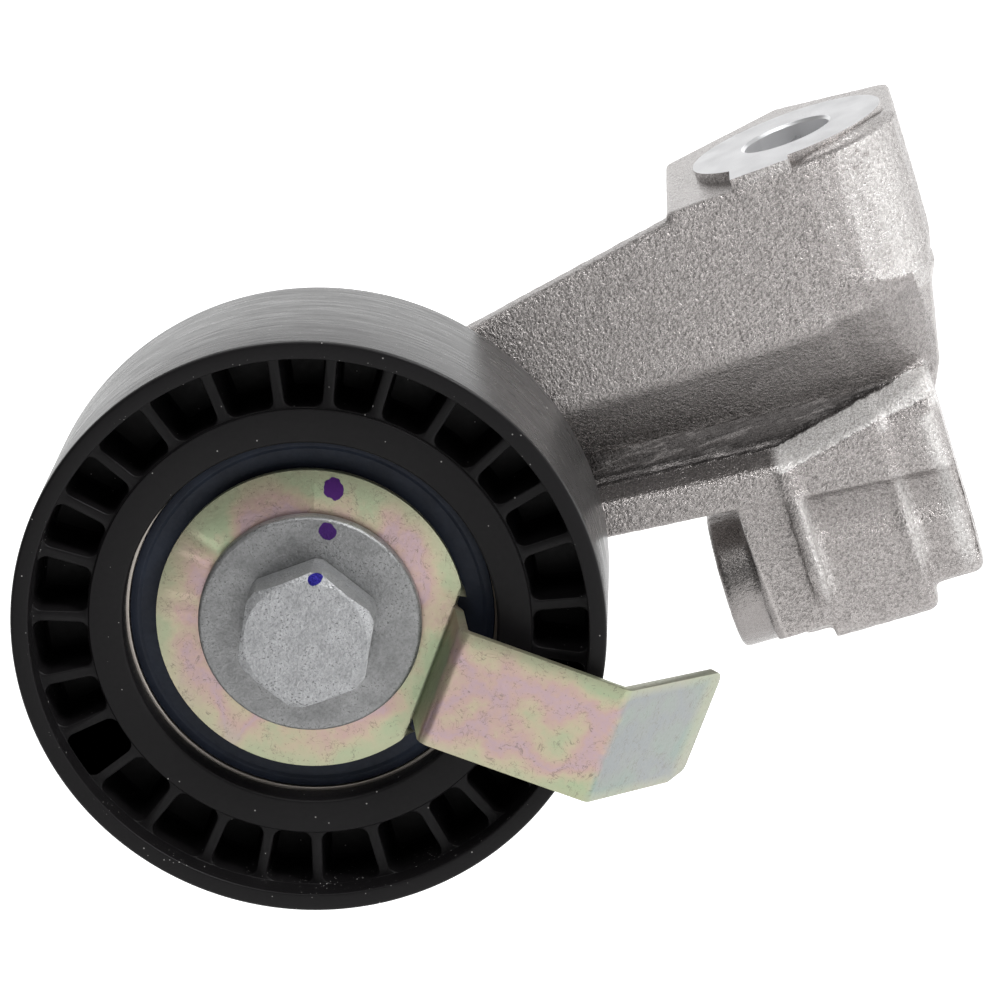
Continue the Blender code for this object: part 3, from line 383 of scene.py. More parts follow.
@dataclass(frozen=True)
class MachinedAluminium:
    """Faced or bored aluminium with the cutter's fine rings."""

    name: str
    centre: tuple[float, float, float]
    axis: str
    ring: float = 0.22 * MM
    colour: tuple[float, float, float] = (0.52, 0.52, 0.53)
    roughness: float = 0.34

    def build(self) -> bpy.types.Material:
        """Make the material.

        Returns:
            The finished material.
        """
        sketch = NodeSketch(self.name)
        radius = sketch.radius_about(self.centre, self.axis)
        rings = sketch.maths("SINE", sketch.times(radius, 2 * pi / self.ring))
        cloud = sketch.grains(4 * MM, detail=3.0)
        normal = sketch.relief(rings, 0.004 * MM)
        gloss = sketch.ramp(cloud, 0.3, 0.7, self.roughness - 0.06, self.roughness + 0.08)
        sketch.surface(base_color=self.colour, metallic=0.8, roughness=gloss, normal=normal)
        return sketch.material


@dataclass(frozen=True)
class MouldedNylon:
    """Black glass-filled nylon with a satin skin, a turned belt track and a little dust; the
    track's lighter grey is partly a painted sheen.
    """

    name: str
    centre: tuple[float, float, float]
    track_radius: float
    lip: float
    colour: tuple[float, float, float] = (0.0065, 0.006, 0.0065)

    def build(self) -> bpy.types.Material:
        """Make the material.

        Returns:
            The finished material.
        """
        sketch = NodeSketch(self.name)
        radius = sketch.radius_about(self.centre, "Y")
        on_track = sketch.ramp(radius, self.track_radius - 0.15 * MM, self.track_radius - 0.05 * MM)
        skin = sketch.grains(0.5 * MM, detail=3.0)
        streaks = sketch.grains(1 * MM, sketch.place((0.035, 4.0, 0.035)), detail=4.0,
                                roughness=0.65)
        scuffs = sketch.grains(1 * MM, sketch.place((0.12, 1.6, 0.12)), detail=5.0, roughness=0.7)
        dust = sketch.ramp(sketch.cells(1.7 * MM), 0.045, 0.06, 1.0, 0.0)
        fleck = sketch.ramp(sketch.cells(0.55 * MM), 0.10, 0.14, 1.0, 0.0)
        lip = sketch.ramp(sketch.off(radius, self.lip), 0.35 * MM, 0.6 * MM, 1.0, 0.0)
        patchy = sketch.ramp(sketch.grains(5 * MM, detail=2.0), 0.50, 0.62)
        fleck = sketch.times(fleck, sketch.times(lip, patchy))
        dust = sketch.maths("MAXIMUM", dust, fleck)
        # The track's lighter grey is partly its scuffed skin and partly a painted sheen.
        tint = sketch.blend(on_track, self.colour, (0.032, 0.031, 0.031))
        tint = sketch.blend(sketch.times(dust, 0.75), tint, (0.42, 0.41, 0.40))
        gloss_skin = sketch.ramp(skin, 0.3, 0.7, 0.38, 0.5)
        gloss_track = sketch.ramp(scuffs, 0.35, 0.65, 0.22, 0.40)
        gloss = sketch.weigh(on_track, gloss_skin, gloss_track)
        under = sketch.relief(skin, 0.012 * MM)
        normal = sketch.relief(streaks, sketch.times(on_track, 0.02 * MM), under)
        shine = sketch.ramp(on_track, 0.0, 1.0, 0.14, 0.6)
        sketch.surface(base_color=tint, roughness=gloss, normal=normal,
                       specular_ior_level=shine)
        return sketch.material


@dataclass(frozen=True)
class BearingSteel:
    """Ground steel, bright and evenly fine."""

    name: str = "ground_bearing_steel"
    colour: tuple[float, float, float] = (0.66, 0.66, 0.67)
    roughness: float = 0.16

    def build(self) -> bpy.types.Material:
        """Make the material.

        Returns:
            The finished material.
        """
        sketch = NodeSketch(self.name)
        lines = sketch.grains(1 * MM, sketch.place((0.2, 6.0, 0.2)), detail=3.0)
        gloss = sketch.ramp(lines, 0.3, 0.7, self.roughness - 0.04, self.roughness + 0.08)
        sketch.surface(base_color=self.colour, metallic=1.0, roughness=gloss,
                       normal=sketch.relief(lines, 0.003 * MM))
        return sketch.material


@dataclass(frozen=True)
class SealRubber:
    """Dark blue nitrile rubber with a faint moulded skin."""

    name: str = "blue_seal_rubber"
    colour: tuple[float, float, float] = (0.009, 0.013, 0.025)
    worn: tuple[float, float, float] = (0.014, 0.020, 0.036)

    def build(self) -> bpy.types.Material:
        """Make the material.

        Returns:
            The finished material.
        """
        sketch = NodeSketch(self.name)
        skin = sketch.grains(0.35 * MM, detail=3.0)
        tone = sketch.grains(3 * MM, detail=3.0)
        colour = sketch.blend(sketch.ramp(tone, 0.35, 0.65), self.colour, self.worn)
        gloss = sketch.ramp(skin, 0.3, 0.7, 0.46, 0.6)
        sketch.surface(base_color=colour, roughness=gloss, specular_ior_level=0.3,
                       normal=sketch.relief(skin, 0.01 * MM))
        return sketch.material


@dataclass(frozen=True)
class YellowZinc:
    """Yellow chromate over bright zinc: pale straw that drifts to pink, green and blue."""

    name: str
    origin: tuple[float, float, float]
    forward: tuple[float, float, float]
    disc: float
    width: float
    fold: float
    tip: float
    dabs: tuple[MarkerDab, ...] = ()
    straw: tuple[float, float, float] = (0.43, 0.37, 0.265)
    pink: tuple[float, float, float] = (0.435, 0.31, 0.275)
    violet: tuple[float, float, float] = (0.41, 0.30, 0.32)
    green: tuple[float, float, float] = (0.33, 0.385, 0.25)
    blue: tuple[float, float, float] = (0.20, 0.26, 0.262)

    def rim(self, sketch: NodeSketch, along: Socket, band: float) -> Socket:
        """Rise from 0 to 1 over a band that runs inside every edge of the sheet.

        Args:
            sketch: the material under construction.
            along: distance along the tab.
            band: the band's width round the disc; it is narrower on the tab.

        Returns:
            A number that is 1 at the very edge.
        """
        sideways = (-self.forward[2], 0.0, self.forward[0])
        across = sketch.maths("ABSOLUTE", sketch.reach(sideways, self.origin))
        radius = sketch.radius_about(self.origin, "Y")
        round_rim = sketch.ramp(radius, self.disc - band, self.disc - 0.3 * MM)
        side_rim = sketch.ramp(across, self.width / 2 - band * 0.6, self.width / 2 - 0.2 * MM)
        tip_rim = sketch.ramp(along, self.tip - band * 0.7, self.tip - 0.4 * MM)
        tab_rim = sketch.maths("MAXIMUM", side_rim, tip_rim)
        on_tab = sketch.ramp(along, self.disc - 2.4 * MM, self.disc - 1.8 * MM)
        return sketch.weigh(on_tab, round_rim, tab_rim)

    def hairs(self, sketch: NodeSketch, size: float, keep: float) -> Socket:
        """Fine curling scratches, drawn where a noise passes its middle value.

        Args:
            sketch: the material under construction.
            size: how wide the curls are.
            keep: level that a second noise must pass, from 0 to 1.

        Returns:
            A number that is 1 on a scratch.
        """
        bands = sketch.grains(size, detail=4.0, roughness=0.62, distortion=0.8)
        off = sketch.off(bands, 0.5)
        line = sketch.ramp(off, 0.002, 0.008, 1.0, 0.0)
        where = sketch.ramp(sketch.grains(1.7 * MM, detail=2.0), keep, keep + 0.03)
        return sketch.times(line, where)

    def build(self) -> bpy.types.Material:
        """Make the material.

        Returns:
            The finished material.
        """
        sketch = NodeSketch(self.name)
        drift = sketch.grains(9.0 * MM, detail=1.5, roughness=0.5, distortion=0.3)
        patch = sketch.grains(1.3 * MM, detail=4.0, roughness=0.6)
        mixed = sketch.plus(drift, sketch.times(patch, 0.22))
        along = sketch.reach(self.forward, self.origin)
        outward = sketch.times(self.rim(sketch, along, 6.5 * MM), 0.42)
        upper = sketch.ramp(sketch.reach((0.0, 0.0, 1.0), self.origin), 2 * MM, 17 * MM,
                            0.0, 0.28)
        outward = sketch.plus(outward, upper)
        shade = sketch.plus(sketch.ramp(mixed, 0.40, 0.82, 0.05, 0.85), outward)
        colour = sketch.tints(shade, [
            (0.0, self.green), (0.20, self.straw), (0.34, self.pink), (0.46, self.violet),
            (0.56, self.pink), (0.72, self.straw), (0.92, self.green)])
        wobble = sketch.times(patch, 1.5 * MM)
        past_fold = sketch.ramp(sketch.plus(along, wobble), self.fold + 0.4 * MM,
                                self.fold + 1.6 * MM, 0.0, 0.76)
        colour = sketch.blend(past_fold, colour, self.blue)
        rim = sketch.times(self.rim(sketch, along, 2.4 * MM), 0.6)
        colour = sketch.blend(rim, colour, sketch.blend(patch, self.green, self.straw))
        for size, keep in ((3.5 * MM, 0.47), (2.2 * MM, 0.52)):
            scratch = sketch.times(self.hairs(sketch, size, keep), 0.55)
            colour = sketch.blend(scratch, colour, (0.14, 0.12, 0.10))
        grime = sketch.ramp(sketch.grains(0.30 * MM, detail=2.0), 0.26, 0.34, 0.6, 0.0)
        colour = sketch.blend(grime, colour, (0.16, 0.14, 0.11))
        for dab in self.dabs:
            colour = sketch.blend(dab.mask(sketch), colour, dab.colour)
        fine = sketch.grains(0.4 * MM, detail=3.0)
        gloss = sketch.ramp(fine, 0.3, 0.7, 0.28, 0.40)
        sketch.surface(base_color=colour, metallic=0.75, roughness=gloss,
                       normal=sketch.relief(fine, 0.014 * MM))
        return sketch.material


@dataclass(frozen=True)
class ZincFlake:
    """Grey zinc-flake coat: matt and finely speckled, with pores and handling marks."""

    name: str
    dabs: tuple[MarkerDab, ...] = ()
    light: tuple[float, float, float] = (0.44, 0.445, 0.455)
    dark: tuple[float, float, float] = (0.27, 0.275, 0.28)
    pitting: float = 0.04 * MM

    def build(self) -> bpy.types.Material:
        """Make the material.

        Returns:
            The finished material.
        """
        sketch = NodeSketch(self.name)
        cloud = sketch.grains(2.6 * MM, detail=6.0, roughness=0.75)
        mottle = sketch.grains(0.35 * MM, detail=3.0, roughness=0.65)
        tone = sketch.plus(sketch.times(cloud, 0.6), sketch.times(mottle, 0.4))
        colour = sketch.blend(sketch.ramp(tone, 0.36, 0.60), self.dark, self.light)
        pores = sketch.ramp(sketch.grains(0.26 * MM, detail=2.0), 0.34, 0.42, 1.0, 0.0)
        where = sketch.ramp(sketch.grains(2.6 * MM, detail=3.0), 0.40, 0.56)
        colour = sketch.blend(sketch.times(pores, sketch.times(where, 0.75)), colour,
                              (0.07, 0.07, 0.07))
        for dab in self.dabs:
            colour = sketch.blend(dab.mask(sketch), colour, dab.colour)
        gloss = sketch.ramp(mottle, 0.3, 0.7, 0.36, 0.52)
        below = sketch.relief(cloud, self.pitting * 1.5)
        normal = sketch.relief(mottle, self.pitting, below)
        sketch.surface(base_color=colour, metallic=0.7, roughness=gloss, normal=normal)
        return sketch.material


# ---- Mesh helpers ---------------------------------------------------------------------


def soft_corners(corners: Sequence[tuple[float, float, float]], steps: int = 4,
                 closed: bool = True) -> Profile:
    """Round each (u, v, radius) corner of a flat line with an arc.

    Args:
        corners: the corners; a radius of 0 keeps one sharp.
        steps: segments in each arc.
        closed: whether the line returns to its start.

    Returns:
        The rounded line's points.
    """
    line: Profile = []
    count = len(corners)
    for index, (u, v, radius) in enumerate(corners):
        at_end = not closed and index in (0, count - 1)
        if radius <= 0 or at_end:
            line.append((u, v))
            continue
        corner = Vector((u, v))
        before = (Vector(corners[index - 1][:2]) - corner).normalized()
        after = (Vector(corners[(index + 1) % count][:2]) - corner).normalized()
        half = acos(max(-1.0, min(1.0, before.dot(after)))) / 2
        centre = corner + (before + after).normalized() * (radius / sin(half))
        start = corner + before * (radius / tan(half)) - centre
        turn = (pi - 2 * half) * (1 if before.cross(after) < 0 else -1)
        for step in range(steps + 1):
            line.append(tuple(centre + Matrix.Rotation(turn * step / steps, 2) @ start))
    return line


def turned(profile: Profile, centre: Vector, steps: int, closed: bool = True) -> bmesh.types.BMesh:
    """Spin a (radius, y) profile about an axis along Y.

    Args:
        profile: the section's points.
        centre: a point on the axis.
        steps: segments in the full turn.
        closed: whether the section is a ring; otherwise its ends lie on the axis.

    Returns:
        The closed solid.
    """
    shape = bmesh.new()
    points = [shape.verts.new((centre.x + radius, y, centre.z)) for radius, y in profile]
    pairs = list(zip(points, points[1:]))
    if closed:
        pairs.append((points[-1], points[0]))
    for first, second in pairs:
        shape.edges.new((first, second))
    bmesh.ops.spin(shape, geom=shape.verts[:] + shape.edges[:], cent=centre, axis=(0, 1, 0),
                   angle=2 * pi, steps=steps, use_merge=True)
    bmesh.ops.remove_doubles(shape, verts=shape.verts, dist=0.001 * MM)
    bmesh.ops.recalc_face_normals(shape, faces=shape.faces)
    return shape


def stacked(loops: Sequence[Sequence[Vector]]) -> bmesh.types.BMesh:
    """Bridge closed loops of points in turn and cap both ends.

    Args:
        loops: the loops, each with as many points as the next.

    Returns:
        The closed solid.
    """
    shape = bmesh.new()
    rings = []
    for loop in loops:
        corners = [shape.verts.new(point) for point in loop]
        rings.append([shape.edges.new((a, b)) for a, b in zip(corners, corners[1:] + corners[:1])])
    for lower, upper in zip(rings, rings[1:]):
        bmesh.ops.bridge_loops(shape, edges=lower + upper)
    bmesh.ops.holes_fill(shape, edges=rings[0] + rings[-1], sides=0)
    bmesh.ops.recalc_face_normals(shape, faces=shape.faces)
    return shape


def add_to(base: bmesh.types.BMesh, extra: bmesh.types.BMesh) -> None:
    """Copy one bmesh into another and free it.

    Args:
        base: the bmesh that grows.
        extra: the bmesh that is copied.
    """
    carrier = bpy.data.meshes.new("carrier")
    extra.to_mesh(carrier)
    extra.free()
    base.from_mesh(carrier)
    bpy.data.meshes.remove(carrier)


def solid(name: str, shape: bmesh.types.BMesh, *materials: bpy.types.Material) -> bpy.types.Object:
    """Turn a bmesh into an object in the scene.

    Args:
        name: the object's name.
        shape: the bmesh, which is freed.
        materials: its material slots in order.

    Returns:
        The new object.
    """
    mesh = bpy.data.meshes.new(name)
    shape.to_mesh(mesh)
    shape.free()
    made = bpy.data.objects.new(name, mesh)
    for material in materials:
        mesh.materials.append(material)
    bpy.context.scene.collection.objects.link(made)
    return made


def settle(item: bpy.types.Object) -> None:
    """Apply an object's modifiers to its own mesh.

    Args:
        item: the object.
    """
    graph = bpy.context.evaluated_depsgraph_get()
    graph.update()
    mesh = bpy.data.meshes.new_from_object(item.evaluated_get(graph))
    old = item.data
    item.modifiers.clear()
    item.data = mesh
    bpy.data.meshes.remove(old)


def carve(item: bpy.types.Object, tool: bpy.types.Object, cut: Cut) -> None:
    """Combine two closed meshes, keep the result and drop the tool.

    Args:
        item: the object that is kept.
        tool: the other closed object.
        cut: what the tool does.
    """
    modifier = item.modifiers.new(cut.value, "BOOLEAN")
    modifier.operation = cut.value
    modifier.solver = "MANIFOLD"
    modifier.object = tool
    modifier.material_mode = "TRANSFER"
    settle(item)
    bpy.data.objects.remove(tool, do_unlink=True)


def soften_edges(item: bpy.types.Object, width: float, angle: float = radians(35)) -> None:
    """Bevel the edges sharper than an angle.

    Args:
        item: the object.
        width: the bevel's width.
        angle: the angle.
    """
    modifier = item.modifiers.new("softened edges", "BEVEL")
    modifier.width = width
    modifier.segments = 2
    modifier.limit_method = "ANGLE"
    modifier.angle_limit = angle
    modifier.use_clamp_overlap = True
    settle(item)


def fit(item: bpy.types.Object, body: Body, slot: Slot, *nodes: str,
        sharp: float = 32.0) -> None:
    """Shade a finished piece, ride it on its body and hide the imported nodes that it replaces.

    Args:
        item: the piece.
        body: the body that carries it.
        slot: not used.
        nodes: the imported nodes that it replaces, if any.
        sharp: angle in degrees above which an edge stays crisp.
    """
    item.data.shade_smooth()
    item.data.set_sharp_from_angle(angle=radians(sharp))
    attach(item, body.value)
    if nodes:
        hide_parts(*nodes)
    LOG.info("%s: %d faces on %s", item.name, len(item.data.polygons), body.value)


def relax(shape: bmesh.types.BMesh, verts: Sequence[bmesh.types.BMVert], passes: int) -> None:
    """Smooth some of a bmesh's points.

    Args:
        shape: the bmesh.
        verts: the points.
        passes: how many times they are smoothed.
    """
    for _ in range(passes):
        bmesh.ops.smooth_vert(shape, verts=verts, factor=0.5, use_axis_x=True,
                              use_axis_y=True, use_axis_z=True)


def ball(radius: float, place: Matrix, segments: int) -> bmesh.types.BMesh:
    """Globe of latitude rings.

    Args:
        radius: its radius before it is placed.
        place: where it lies and how it is scaled.
        segments: faces round its equator, twice those from pole to pole.

    Returns:
        The closed globe.
    """
    shape = bmesh.new()
    bmesh.ops.create_uvsphere(shape, u_segments=segments, v_segments=segments // 2,
                              radius=radius, matrix=place)
    return shape


def merged_copy(node: str) -> bmesh.types.BMesh:
    """Join the loose triangles of a CAD node in a copy of its mesh.

    Args:
        node: the node's name.

    Returns:
        The copy.
    """
    shape = bmesh.new()
    shape.from_mesh(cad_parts[node].data)
    bmesh.ops.remove_doubles(shape, verts=shape.verts, dist=0.002 * MM)
    return shape


def box(low: Sequence[float], high: Sequence[float]) -> bmesh.types.BMesh:
    """Make a closed box between two corners.

    Args:
        low: its lowest corner.
        high: its highest corner.

    Returns:
        The box.
    """
    shape = bmesh.new()
    place = Matrix.Translation((Vector(high) + Vector(low)) / 2)
    size = Matrix.Diagonal((*(Vector(high) - Vector(low)), 1.0))
    bmesh.ops.create_cube(shape, size=1.0, matrix=place @ size)
    return shape


def share(distance: float, length: float) -> float:
    """How much of a length a distance covers, held between 0 and 1."""
    return min(max(distance / length, 0.0), 1.0)


def round_sizes(node: str) -> tuple[Vector, float, float, float]:
    """Middle, radius, lowest y and highest y of a node that is round about the Y direction."""
    low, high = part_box(node)
    return (low + high) / 2, (high.x - low.x) / 2, low.y, high.y


# ---- Pulley wheel ---------------------------------------------------------------------


@dataclass
class PulleyWheel:
    """Moulded wheel with unevenly spaced ribs on both sides of its web."""

    rim_wall: float = 2.15 * MM
    hub_radius: float = 26.35 * MM
    hub_edge: float = 26.0 * MM
    hub_step: float = 0.15 * MM
    hub_setback: float = 2.9 * MM
    lip_radius: float = 22.05 * MM
    web: float = 3.4 * MM
    rib: float = 1.3 * MM
    rib_setback: float = 3.4 * MM
    fillet: float = 1.1 * MM
    mouth: float = 0.17 * MM
    clearance: float = 0.15 * MM
    edge_round: float = 0.45 * MM
    first_rib: float = radians(-15.8)
    wide_pitch: float = radians(14.4)
    pitches: str = "wnnwwnnwwwnnwwnnwwnnwwnnwwn"
    steps: int = 216
    centre: Vector = field(init=False)
    radius: float = field(init=False)
    front: float = field(init=False)
    back: float = field(init=False)

    def __post_init__(self) -> None:
        """Take the wheel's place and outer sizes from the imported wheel."""
        self.centre, self.radius, self.front, self.back = round_sizes("pulley_wheel")

    def body(self) -> bmesh.types.BMesh:
        """Spun wheel without its pockets.

        Returns:
            The closed solid.
        """
        _, outside, bearing_front, bearing_back = round_sizes("bearing_outer_ring")
        bore = outside + self.clearance
        seat_front = bearing_front - self.clearance
        seat_back = bearing_back + self.clearance
        rim = self.radius - self.rim_wall
        wall = self.hub_edge + self.hub_step

        def side(face: float, inward: int, seat: float) -> list[tuple[float, float, float]]:
            """List the corners of one side, from the rim down to the bore.

            Args:
                face: the side's outermost y.
                inward: 1 if the web lies towards +Y, otherwise -1.
                seat: y of the side's end of the bearing seat.

            Returns:
                Corners of (radius, y, rounding).
            """
            floor = face + inward * self.rib_setback
            hub = face + inward * self.hub_setback
            return [
                (self.radius, face, self.edge_round), (rim, face, 0.25 * MM),
                (rim, floor, 0.12 * MM), (wall, floor, 0.1 * MM),
                (wall, hub + inward * self.hub_step, 0.05 * MM), (self.hub_edge, hub, 0.05 * MM),
                (self.lip_radius, hub, 0.4 * MM), (self.lip_radius, seat, 0.0), (bore, seat, 0.0)]

        corners = side(self.front, 1, seat_front) + side(self.back, -1, seat_back)[::-1]
        return turned(soft_corners(corners, 4), self.centre, self.steps)

    def ribs(self) -> Iterable[tuple[float, float]]:
        """Find the ribs on each side of a pocket, one pocket after another.

        Returns:
            Pairs of angles.
        """
        narrow_count = self.pitches.count("n")
        wide_total = self.wide_pitch * self.pitches.count("w")
        pitch = {"w": self.wide_pitch, "n": (2 * pi - wide_total) / narrow_count}
        angle = self.first_rib
        for step in self.pitches:
            yield angle, angle + pitch[step]
            angle += pitch[step]

    def pocket_loop(self, start: float, end: float, grow: float, y: float) -> list[Vector]:
        """Outline of one pocket at a depth.

        Args:
            start: angle of the rib before it.
            end: angle of the rib after it.
            grow: how far the outline is moved outwards.
            y: the depth.

        Returns:
            The outline's points.
        """
        inner = self.hub_radius - grow
        outer = self.radius - self.rim_wall + grow
        half = self.rib / 2 - grow

        def beside(radius: float, angle: float, side: int) -> tuple[float, float]:
            """Find the point at a radius on one flank of a rib.

            Args:
                radius: distance from the wheel's axis.
                angle: the rib's angle.
                side: 1 for its far flank, -1 for its near one.

            Returns:
                The point's two coordinates.
            """
            along = sqrt(radius ** 2 - half ** 2)
            return (cos(angle) * along - side * sin(angle) * half,
                    sin(angle) * along + side * cos(angle) * half)

        radius = self.fillet + grow
        middle = (start + end) / 2
        corners = [(*beside(inner, start, 1), radius), (*beside(outer, start, 1), radius)]
        for part in (-0.25, 0.0, 0.25):
            angle = middle + (end - start) * part
            corners.append((cos(angle) * outer, sin(angle) * outer, 0.0))
        corners += [(*beside(outer, end, -1), radius), (*beside(inner, end, -1), radius)]
        corners.append((cos(middle) * inner, sin(middle) * inner, 0.0))
        return [Vector((self.centre.x + u, y, self.centre.z + v))
                for u, v in soft_corners(corners, 5)]

    def pockets(self, mouth_y: float, floor_y: float) -> bmesh.types.BMesh:
        """Cutters of the pockets on one side, flared at the mouth and drafted inside.

        Args:
            mouth_y: the face that the pockets open in.
            floor_y: the web's face.

        Returns:
            Separate closed cutters in one bmesh.
        """
        outward = 1 if mouth_y > floor_y else -1
        levels = [
            (floor_y, -0.55 * MM), (floor_y + outward * 0.35 * MM, -0.2 * MM),
            (mouth_y - outward * self.mouth, 0.0),
            (mouth_y - outward * self.mouth * 0.4, self.mouth * 0.22),
            (mouth_y, self.mouth * 0.9), (mouth_y + outward * 0.05 * MM, self.mouth * 0.9),
        ]
        shape = bmesh.new()
        for start, end in self.ribs():
            loops = [self.pocket_loop(start, end, grow, y) for y, grow in levels]
            add_to(shape, stacked(loops))
        return shape

    def build(self) -> None:
        """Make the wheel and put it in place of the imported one."""
        finish = MouldedNylon("moulded_black_nylon", tuple(self.centre), self.radius,
                              self.radius - self.rim_wall).build()
        wheel = solid("wheel", self.body(), finish)
        middle = (self.front + self.back) / 2
        for mouth, floor in ((self.front + self.rib_setback, middle - self.web / 2),
                             (self.back - self.rib_setback, middle + self.web / 2)):
            carve(wheel, solid("pockets", self.pockets(mouth, floor), finish), Cut.REMOVE)
        fit(wheel, Body.PULLEY, Slot.NYLON, "pulley_wheel", sharp=40.0)


# ---- Ball bearing ---------------------------------------------------------------------


@dataclass
class BallBearing:
    """Sealed deep-groove ball bearing."""

    ball_radius: float = 4.365 * MM
    pitch_radius: float = 16.0 * MM
    inner_shoulder: float = 13.2 * MM
    outer_shoulder: float = 18.8 * MM
    seal_seat: float = 21.65 * MM
    seal_setback: float = 0.25 * MM
    seal_thickness: float = 0.9 * MM
    chamfer: float = 0.7 * MM
    bore: float = 8.5 * MM
    balls: int = 7
    rivet_radius: float = 0.8 * MM
    rivet_proud: float = 0.75 * MM
    steps: int = 144
    centre: Vector = field(init=False)
    outside: float = field(init=False)
    front: float = field(init=False)
    back: float = field(init=False)

    def __post_init__(self) -> None:
        """Take the bearing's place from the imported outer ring."""
        self.centre, self.outside, self.front, self.back = round_sizes("bearing_outer_ring")

    def groove(self, side: int, shoulder: float) -> Profile:
        """Raceway arc from the back shoulder to the front one.

        Args:
            side: 1 in the outer ring, -1 in the inner one.
            shoulder: the ring's radius beside the groove.

        Returns:
            The arc's points.
        """
        reach = self.ball_radius + 0.3 * MM
        half = sqrt(reach ** 2 - (shoulder - self.pitch_radius) ** 2)
        limit = atan2(half, abs(shoulder - self.pitch_radius))
        arc = []
        for step in range(17):
            angle = limit - 2 * limit * step / 16
            arc.append((self.pitch_radius + side * reach * cos(angle),
                        self.centre.y + reach * sin(angle)))
        return arc

    def outer_ring(self) -> bmesh.types.BMesh:
        """Spin the outer ring with its raceway and a seat for each seal.

        Returns:
            The closed ring.
        """
        seat = self.seal_setback + self.seal_thickness + 0.3 * MM
        corners = [
            (self.outside, self.back, self.chamfer), (self.outside, self.front, self.chamfer),
            (self.seal_seat, self.front, 0.2 * MM), (self.seal_seat, self.front + seat, 0.0),
            (self.outer_shoulder, self.front + seat, 0.0),
            *((u, v, 0.0) for u, v in reversed(self.groove(1, self.outer_shoulder))),
            (self.outer_shoulder, self.back - seat, 0.0),
            (self.seal_seat, self.back - seat, 0.0), (self.seal_seat, self.back, 0.2 * MM)]
        return turned(soft_corners(corners, 4), self.centre, self.steps)

    def inner_ring(self) -> bmesh.types.BMesh:
        """Spin the inner ring with its raceway.

        Returns:
            The closed ring.
        """
        low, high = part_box("bearing_inner_ring")
        corners = [
            (self.inner_shoulder, high.y, 0.2 * MM),
            *((u, v, 0.0) for u, v in self.groove(-1, self.inner_shoulder)),
            (self.inner_shoulder, low.y, 0.2 * MM), (self.bore, low.y, self.chamfer),
            (self.bore, high.y, self.chamfer)]
        return turned(soft_corners(corners, 4), self.centre, self.steps)

    def seal(self, node: str, outward: int) -> bmesh.types.BMesh:
        """Lip seal with a raised bead at its rim and a groove beside the lip.

        Args:
            node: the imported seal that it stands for.
            outward: -1 if its outer face looks along -Y, otherwise 1.

        Returns:
            The closed solid.
        """
        low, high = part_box(node)
        inner = self.inner_shoulder + 0.3 * MM
        outer = self.seal_seat - 0.05 * MM
        face = low.y if outward < 0 else high.y
        inside = high.y if outward < 0 else low.y

        def at(depth: float) -> float:
            """Y at a depth in millimetres below the outer face."""
            return face - outward * depth * MM

        corners = [
            (outer, at(0.1), 0.1 * MM), (outer - 0.9 * MM, at(0.0), 0.2 * MM),
            (outer - 1.3 * MM, at(0.22), 0.2 * MM), (inner + 2.2 * MM, at(0.22), 0.2 * MM),
            (inner + 1.4 * MM, at(0.05), 0.2 * MM), (inner + 0.4 * MM, at(0.05), 0.2 * MM),
            (inner, at(0.35), 0.1 * MM), (inner, inside, 0.1 * MM), (outer, inside, 0.1 * MM)]
        return turned(soft_corners(corners, 3), self.centre, self.steps)

    def build(self) -> None:
        """Make the bearing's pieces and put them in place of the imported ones."""
        steel = BearingSteel().build()
        rubber = SealRubber().build()
        dull = BearingSteel("dull_ring_steel", (0.34, 0.31, 0.28), 0.36).build()
        fit(solid("outer_ring", self.outer_ring(), dull), Body.PULLEY, Slot.BEARING,
            "bearing_outer_ring")
        fit(solid("inner_ring", self.inner_ring(), steel), Body.BRACKET, Slot.BEARING,
            "bearing_inner_ring")
        for node, outward in (("front_seal", -1), ("rear_seal", 1)):
            fit(solid(f"{node}_lip", self.seal(node, outward), rubber), Body.PULLEY, Slot.SEAL,
                node)
        for number in range(self.balls):
            shape = ball(self.ball_radius, Matrix.Translation(self.on_pitch(number)), 32)
            fit(solid(f"steel_ball_{number + 1}", shape, steel), Body.CAGE, Slot.BEARING,
                f"ball_{number + 1}")
        self.cages()

    def on_pitch(self, number: float) -> Vector:
        """Place on the pitch circle, counted in balls from the top."""
        angle = 2 * pi * number / self.balls + pi / 2
        return self.centre + Vector((cos(angle), 0.0, sin(angle))) * self.pitch_radius

    def cages(self) -> None:
        """Round the pressed cage halves and rivet them between the balls."""
        sheet = BearingSteel("pressed_cage_steel", (0.55, 0.54, 0.52), 0.34).build()
        for node, outward in (("cage_front", -1), ("cage_rear", 1)):
            fit(solid(f"{node}_ribbon", merged_copy(node), sheet), Body.CAGE, Slot.CAGE, node,
                sharp=40.0)
            for number in range(self.balls):
                place = self.on_pitch(number + 0.5)
                place.y += outward * self.rivet_proud
                squash = Matrix.Translation(place) @ Matrix.Diagonal((1.0, 0.5, 1.0, 1.0))
                rivet = solid(f"{node}_rivet_{number + 1}", ball(self.rivet_radius, squash, 16),
                              sheet)
                fit(rivet, Body.CAGE, Slot.CAGE)


# ---- Clamped stack --------------------------------------------------------------------


